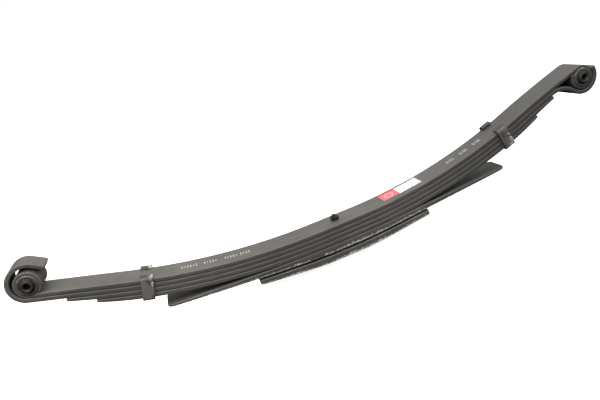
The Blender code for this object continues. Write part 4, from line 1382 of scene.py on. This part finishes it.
class SPRING_OT_label(Operator):
    """The printed paper label on the main leaf"""

    bl_idname = "spring.label"
    bl_label = "Label"

    def execute(self, context):
        small = context.scene.spring_small_sizes
        low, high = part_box("paper_label")
        middle = (low.y + high.y) / 2.0
        rows, columns = 36, 14
        mesh = bpy.data.meshes.new("paper_label_finished")
        builder = bmesh.new()
        uv = builder.loops.layers.uv.new("print")
        grid = {}
        for layer, lift in ((0, LABEL_BACK), (1, LABEL_FACE)):
            for i in range(rows + 1):
                station = small.label_start + small.label_length * i / rows
                point, _, normal = curve_frame(station)
                for j in range(columns + 1):
                    across = (j / columns - 0.5) * small.label_width
                    # The far corners have let go of the paint a little.
                    corner = max(0.0, i / rows - 0.9) * max(0.0, j / columns - 0.8) * 50.0
                    height = main_top(station) + lift + corner * LABEL_CORNER_LIFT
                    place = to_world(point + normal * height, middle + across)
                    grid[layer, i, j] = builder.verts.new(place)
        faces = []
        windings = ((1, ((0, 0), (1, 0), (1, 1), (0, 1))), (0, ((0, 0), (0, 1), (1, 1), (1, 0))))
        for i in range(rows):
            for j in range(columns):
                for layer, corners in windings:
                    cells = [(layer, i + a, j + b) for a, b in corners]
                    faces.append((builder.faces.new([grid[c] for c in cells]), cells))
        border = [(i, 0) for i in range(rows)] + [(rows, j) for j in range(columns)]
        border += [(i, columns) for i in range(rows, 0, -1)] + [(0, j) for j in range(columns, 0, -1)]
        for (i, j), (k, m) in zip(border, border[1:] + border[:1]):
            cells = [(0, i, j), (0, k, m), (1, k, m), (1, i, j)]
            faces.append((builder.faces.new([grid[c] for c in cells]), cells))
        for face, cells in faces:
            for loop, (_, i, j) in zip(face.loops, cells):
                loop[uv].uv = (i / rows, j / columns)
        builder.to_mesh(mesh)
        builder.free()
        mesh.materials.append(label_paper("gloss_coated_label_paper"))
        label = new_object("paper_label_finished", mesh)
        tidy_mesh(mesh)
        stand_for(label, "paper_label", PACK, "label_paper")
        return {"FINISHED"}


# ---- Stage. ----

FLOOR_RADIUS = 40.0
FLOOR_DROP = 1.0 * MM
KEY_SIZE = (1.6, 1.2)
KEY_POWER = 24.0
KEY_PLACE = Vector((-0.9, -1.1, 1.9))
KEY_AIM = Vector((0.0, 0.0, 0.1))
WHITE = (1.0, 1.0, 1.0, 1.0)


class SPRING_OT_stage(Operator):
    """Floor, studio light and camera"""

    bl_idname = "spring.stage"
    bl_label = "Stage"

    def execute(self, context):
        stage = context.scene.spring_stage
        self.floor(stage)
        self.light(context, stage)
        self.camera(context, stage)
        context.scene.view_settings.view_transform = "Standard"
        return {"FINISHED"}

    @staticmethod
    def floor(stage):
        """A wide plain table, faintly lit from inside, under the centre bolt's head."""
        # Matt opal acrylic: even and pale.
        material, tree, shader = new_material("matt_opal_acrylic")
        place = add(tree, "ShaderNodeTexCoord").outputs["Object"]
        clouds = add(tree, "ShaderNodeTexNoise", {"Vector": place, "Scale": 0.7, "Detail": 2.0})
        tone = tuple(stage.floor)
        paler = tuple(min(1.0, c * 1.03) for c in tone)
        board = add(tree, "ShaderNodeMix", {"Factor": clouds, "A": tone, "B": paler}, data_type="RGBA")
        connect(tree, shader, {"Base Color": board})
        shader.inputs["Roughness"].default_value = 0.9
        shader.inputs["Specular IOR Level"].default_value = 0.1
        shader.inputs["Emission Color"].default_value = WHITE
        shader.inputs["Emission Strength"].default_value = stage.floor_glow
        builder = bmesh.new()
        bmesh.ops.create_circle(builder, cap_ends=True, radius=FLOOR_RADIUS, segments=64)
        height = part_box("centre_bolt")[0].z - FLOOR_DROP
        bmesh.ops.translate(builder, verts=builder.verts[:], vec=(0.0, 0.0, height))
        mesh = bpy.data.meshes.new("studio_floor")
        builder.to_mesh(mesh)
        builder.free()
        mesh.materials.append(material)
        floor = new_object("studio_floor", mesh)
        # The table's own glow and bounce would flatten the undersides, so they are flagged off.
        floor.visible_diffuse = False
        floor.visible_glossy = False

    @staticmethod
    def light(context, stage):
        """A soft overhead that is brighter towards +X, dimmer sides, and a large soft key from the left."""
        world = bpy.data.worlds.new("studio")
        world.use_nodes = True
        tree = world.node_tree
        tree.nodes.clear()
        place = add(tree, "ShaderNodeTexCoord").outputs["Generated"]
        direction = add(tree, "ShaderNodeSeparateXYZ", {"Vector": place})
        height = direction.outputs["Z"]
        ends = {
            "Value": height, "From Min": 0.0, "From Max": 1.0, "To Min": stage.horizon, "To Max": stage.sky
        }
        above = add(tree, "ShaderNodeMapRange", ends, interpolation_type="SMOOTHSTEP")
        dim = {
            "Value": height,
            "From Min": -0.3,
            "From Max": 0.0,
            "To Min": stage.below - stage.horizon,
            "To Max": 0.0,
        }
        under = add(tree, "ShaderNodeMapRange", dim)
        ramp = add(tree, "ShaderNodeMath", {0: above, 1: under}, operation="ADD")
        leaning = {0: direction.outputs["X"], 1: stage.lean, 2: 1.0}
        tilt = add(tree, "ShaderNodeMath", leaning, operation="MULTIPLY_ADD")
        strength = add(tree, "ShaderNodeMath", {0: ramp, 1: tilt}, operation="MULTIPLY")
        soft = add(tree, "ShaderNodeBackground", {"Color": WHITE, "Strength": strength})
        plain = add(tree, "ShaderNodeBackground", {"Color": WHITE, "Strength": 1.0})
        rays = add(tree, "ShaderNodeLightPath")
        mixed = add(tree, "ShaderNodeMixShader", {0: rays.outputs["Is Camera Ray"], 1: soft, 2: plain})
        add(tree, "ShaderNodeOutputWorld", {"Surface": mixed})
        context.scene.world = world
        lamp = bpy.data.lights.new("soft_key", "AREA")
        lamp.shape = "RECTANGLE"
        lamp.size, lamp.size_y = KEY_SIZE
        lamp.energy = KEY_POWER
        key = bpy.data.objects.new("soft_key", lamp)
        key.location = KEY_PLACE
        key.rotation_euler = (KEY_AIM - key.location).to_track_quat("-Z", "Y").to_euler()
        context.scene.collection.objects.link(key)

    @staticmethod
    def camera(context, stage):
        data = bpy.data.cameras.new("studio_camera")
        data.lens = stage.lens
        data.sensor_width = 36.0
        data.clip_start = 0.01
        data.clip_end = 200.0
        camera = bpy.data.objects.new("studio_camera", data)
        turn = Matrix.Rotation(-stage.heading, 4, "Z")
        tip = Matrix.Rotation(math.radians(90.0) - stage.pitch, 4, "X")
        roll = Matrix.Rotation(-stage.roll, 4, "Z")
        camera.matrix_world = Matrix.Translation(Vector(stage.position)) @ turn @ tip @ roll
        context.scene.collection.objects.link(camera)
        context.scene.camera = camera


class SPRING_PT_panel(Panel):
    """Lists the spring's builders"""

    bl_idname = "SPRING_PT_panel"
    bl_label = "Leaf Spring"
    bl_space_type = "VIEW_3D"
    bl_region_type = "UI"
    bl_category = "Spring"

    def draw(self, context):
        for builder in BUILDERS:
            self.layout.operator(builder.bl_idname)
        for group in ("spring_leaf_sizes", "spring_small_sizes", "spring_colours", "spring_stage"):
            settings = getattr(context.scene, group)
            column = self.layout.column()
            for key in settings.bl_rna.properties.keys():
                if key not in ("rna_type", "name"):
                    column.prop(settings, key)


GROUPS = {
    "spring_leaf_sizes": SpringLeafSizes,
    "spring_small_sizes": SpringSmallSizes,
    "spring_colours": SpringColours,
    "spring_stage": SpringStage,
}
BUILDERS = (
    SPRING_OT_leaves,
    SPRING_OT_bushes,
    SPRING_OT_centre_bolt,
    SPRING_OT_clips,
    SPRING_OT_marks,
    SPRING_OT_label,
    SPRING_OT_stage,
)


def register():
    for made in (*GROUPS.values(), *BUILDERS, SPRING_PT_panel):
        bpy.utils.register_class(made)
    for name, group in GROUPS.items():
        setattr(bpy.types.Scene, name, PointerProperty(type=group))


def unregister():
    for name in GROUPS:
        delattr(bpy.types.Scene, name)
    for made in (SPRING_PT_panel, *reversed(BUILDERS), *reversed(list(GROUPS.values()))):
        bpy.utils.unregister_class(made)


def main():
    register()
    bpy.ops.spring.leaves()
    bpy.ops.spring.bushes()
    bpy.ops.spring.centre_bolt()
    bpy.ops.spring.clips()
    bpy.ops.spring.marks()
    bpy.ops.spring.label()
    bpy.ops.spring.stage()


if __name__ == "__main__":
    main()
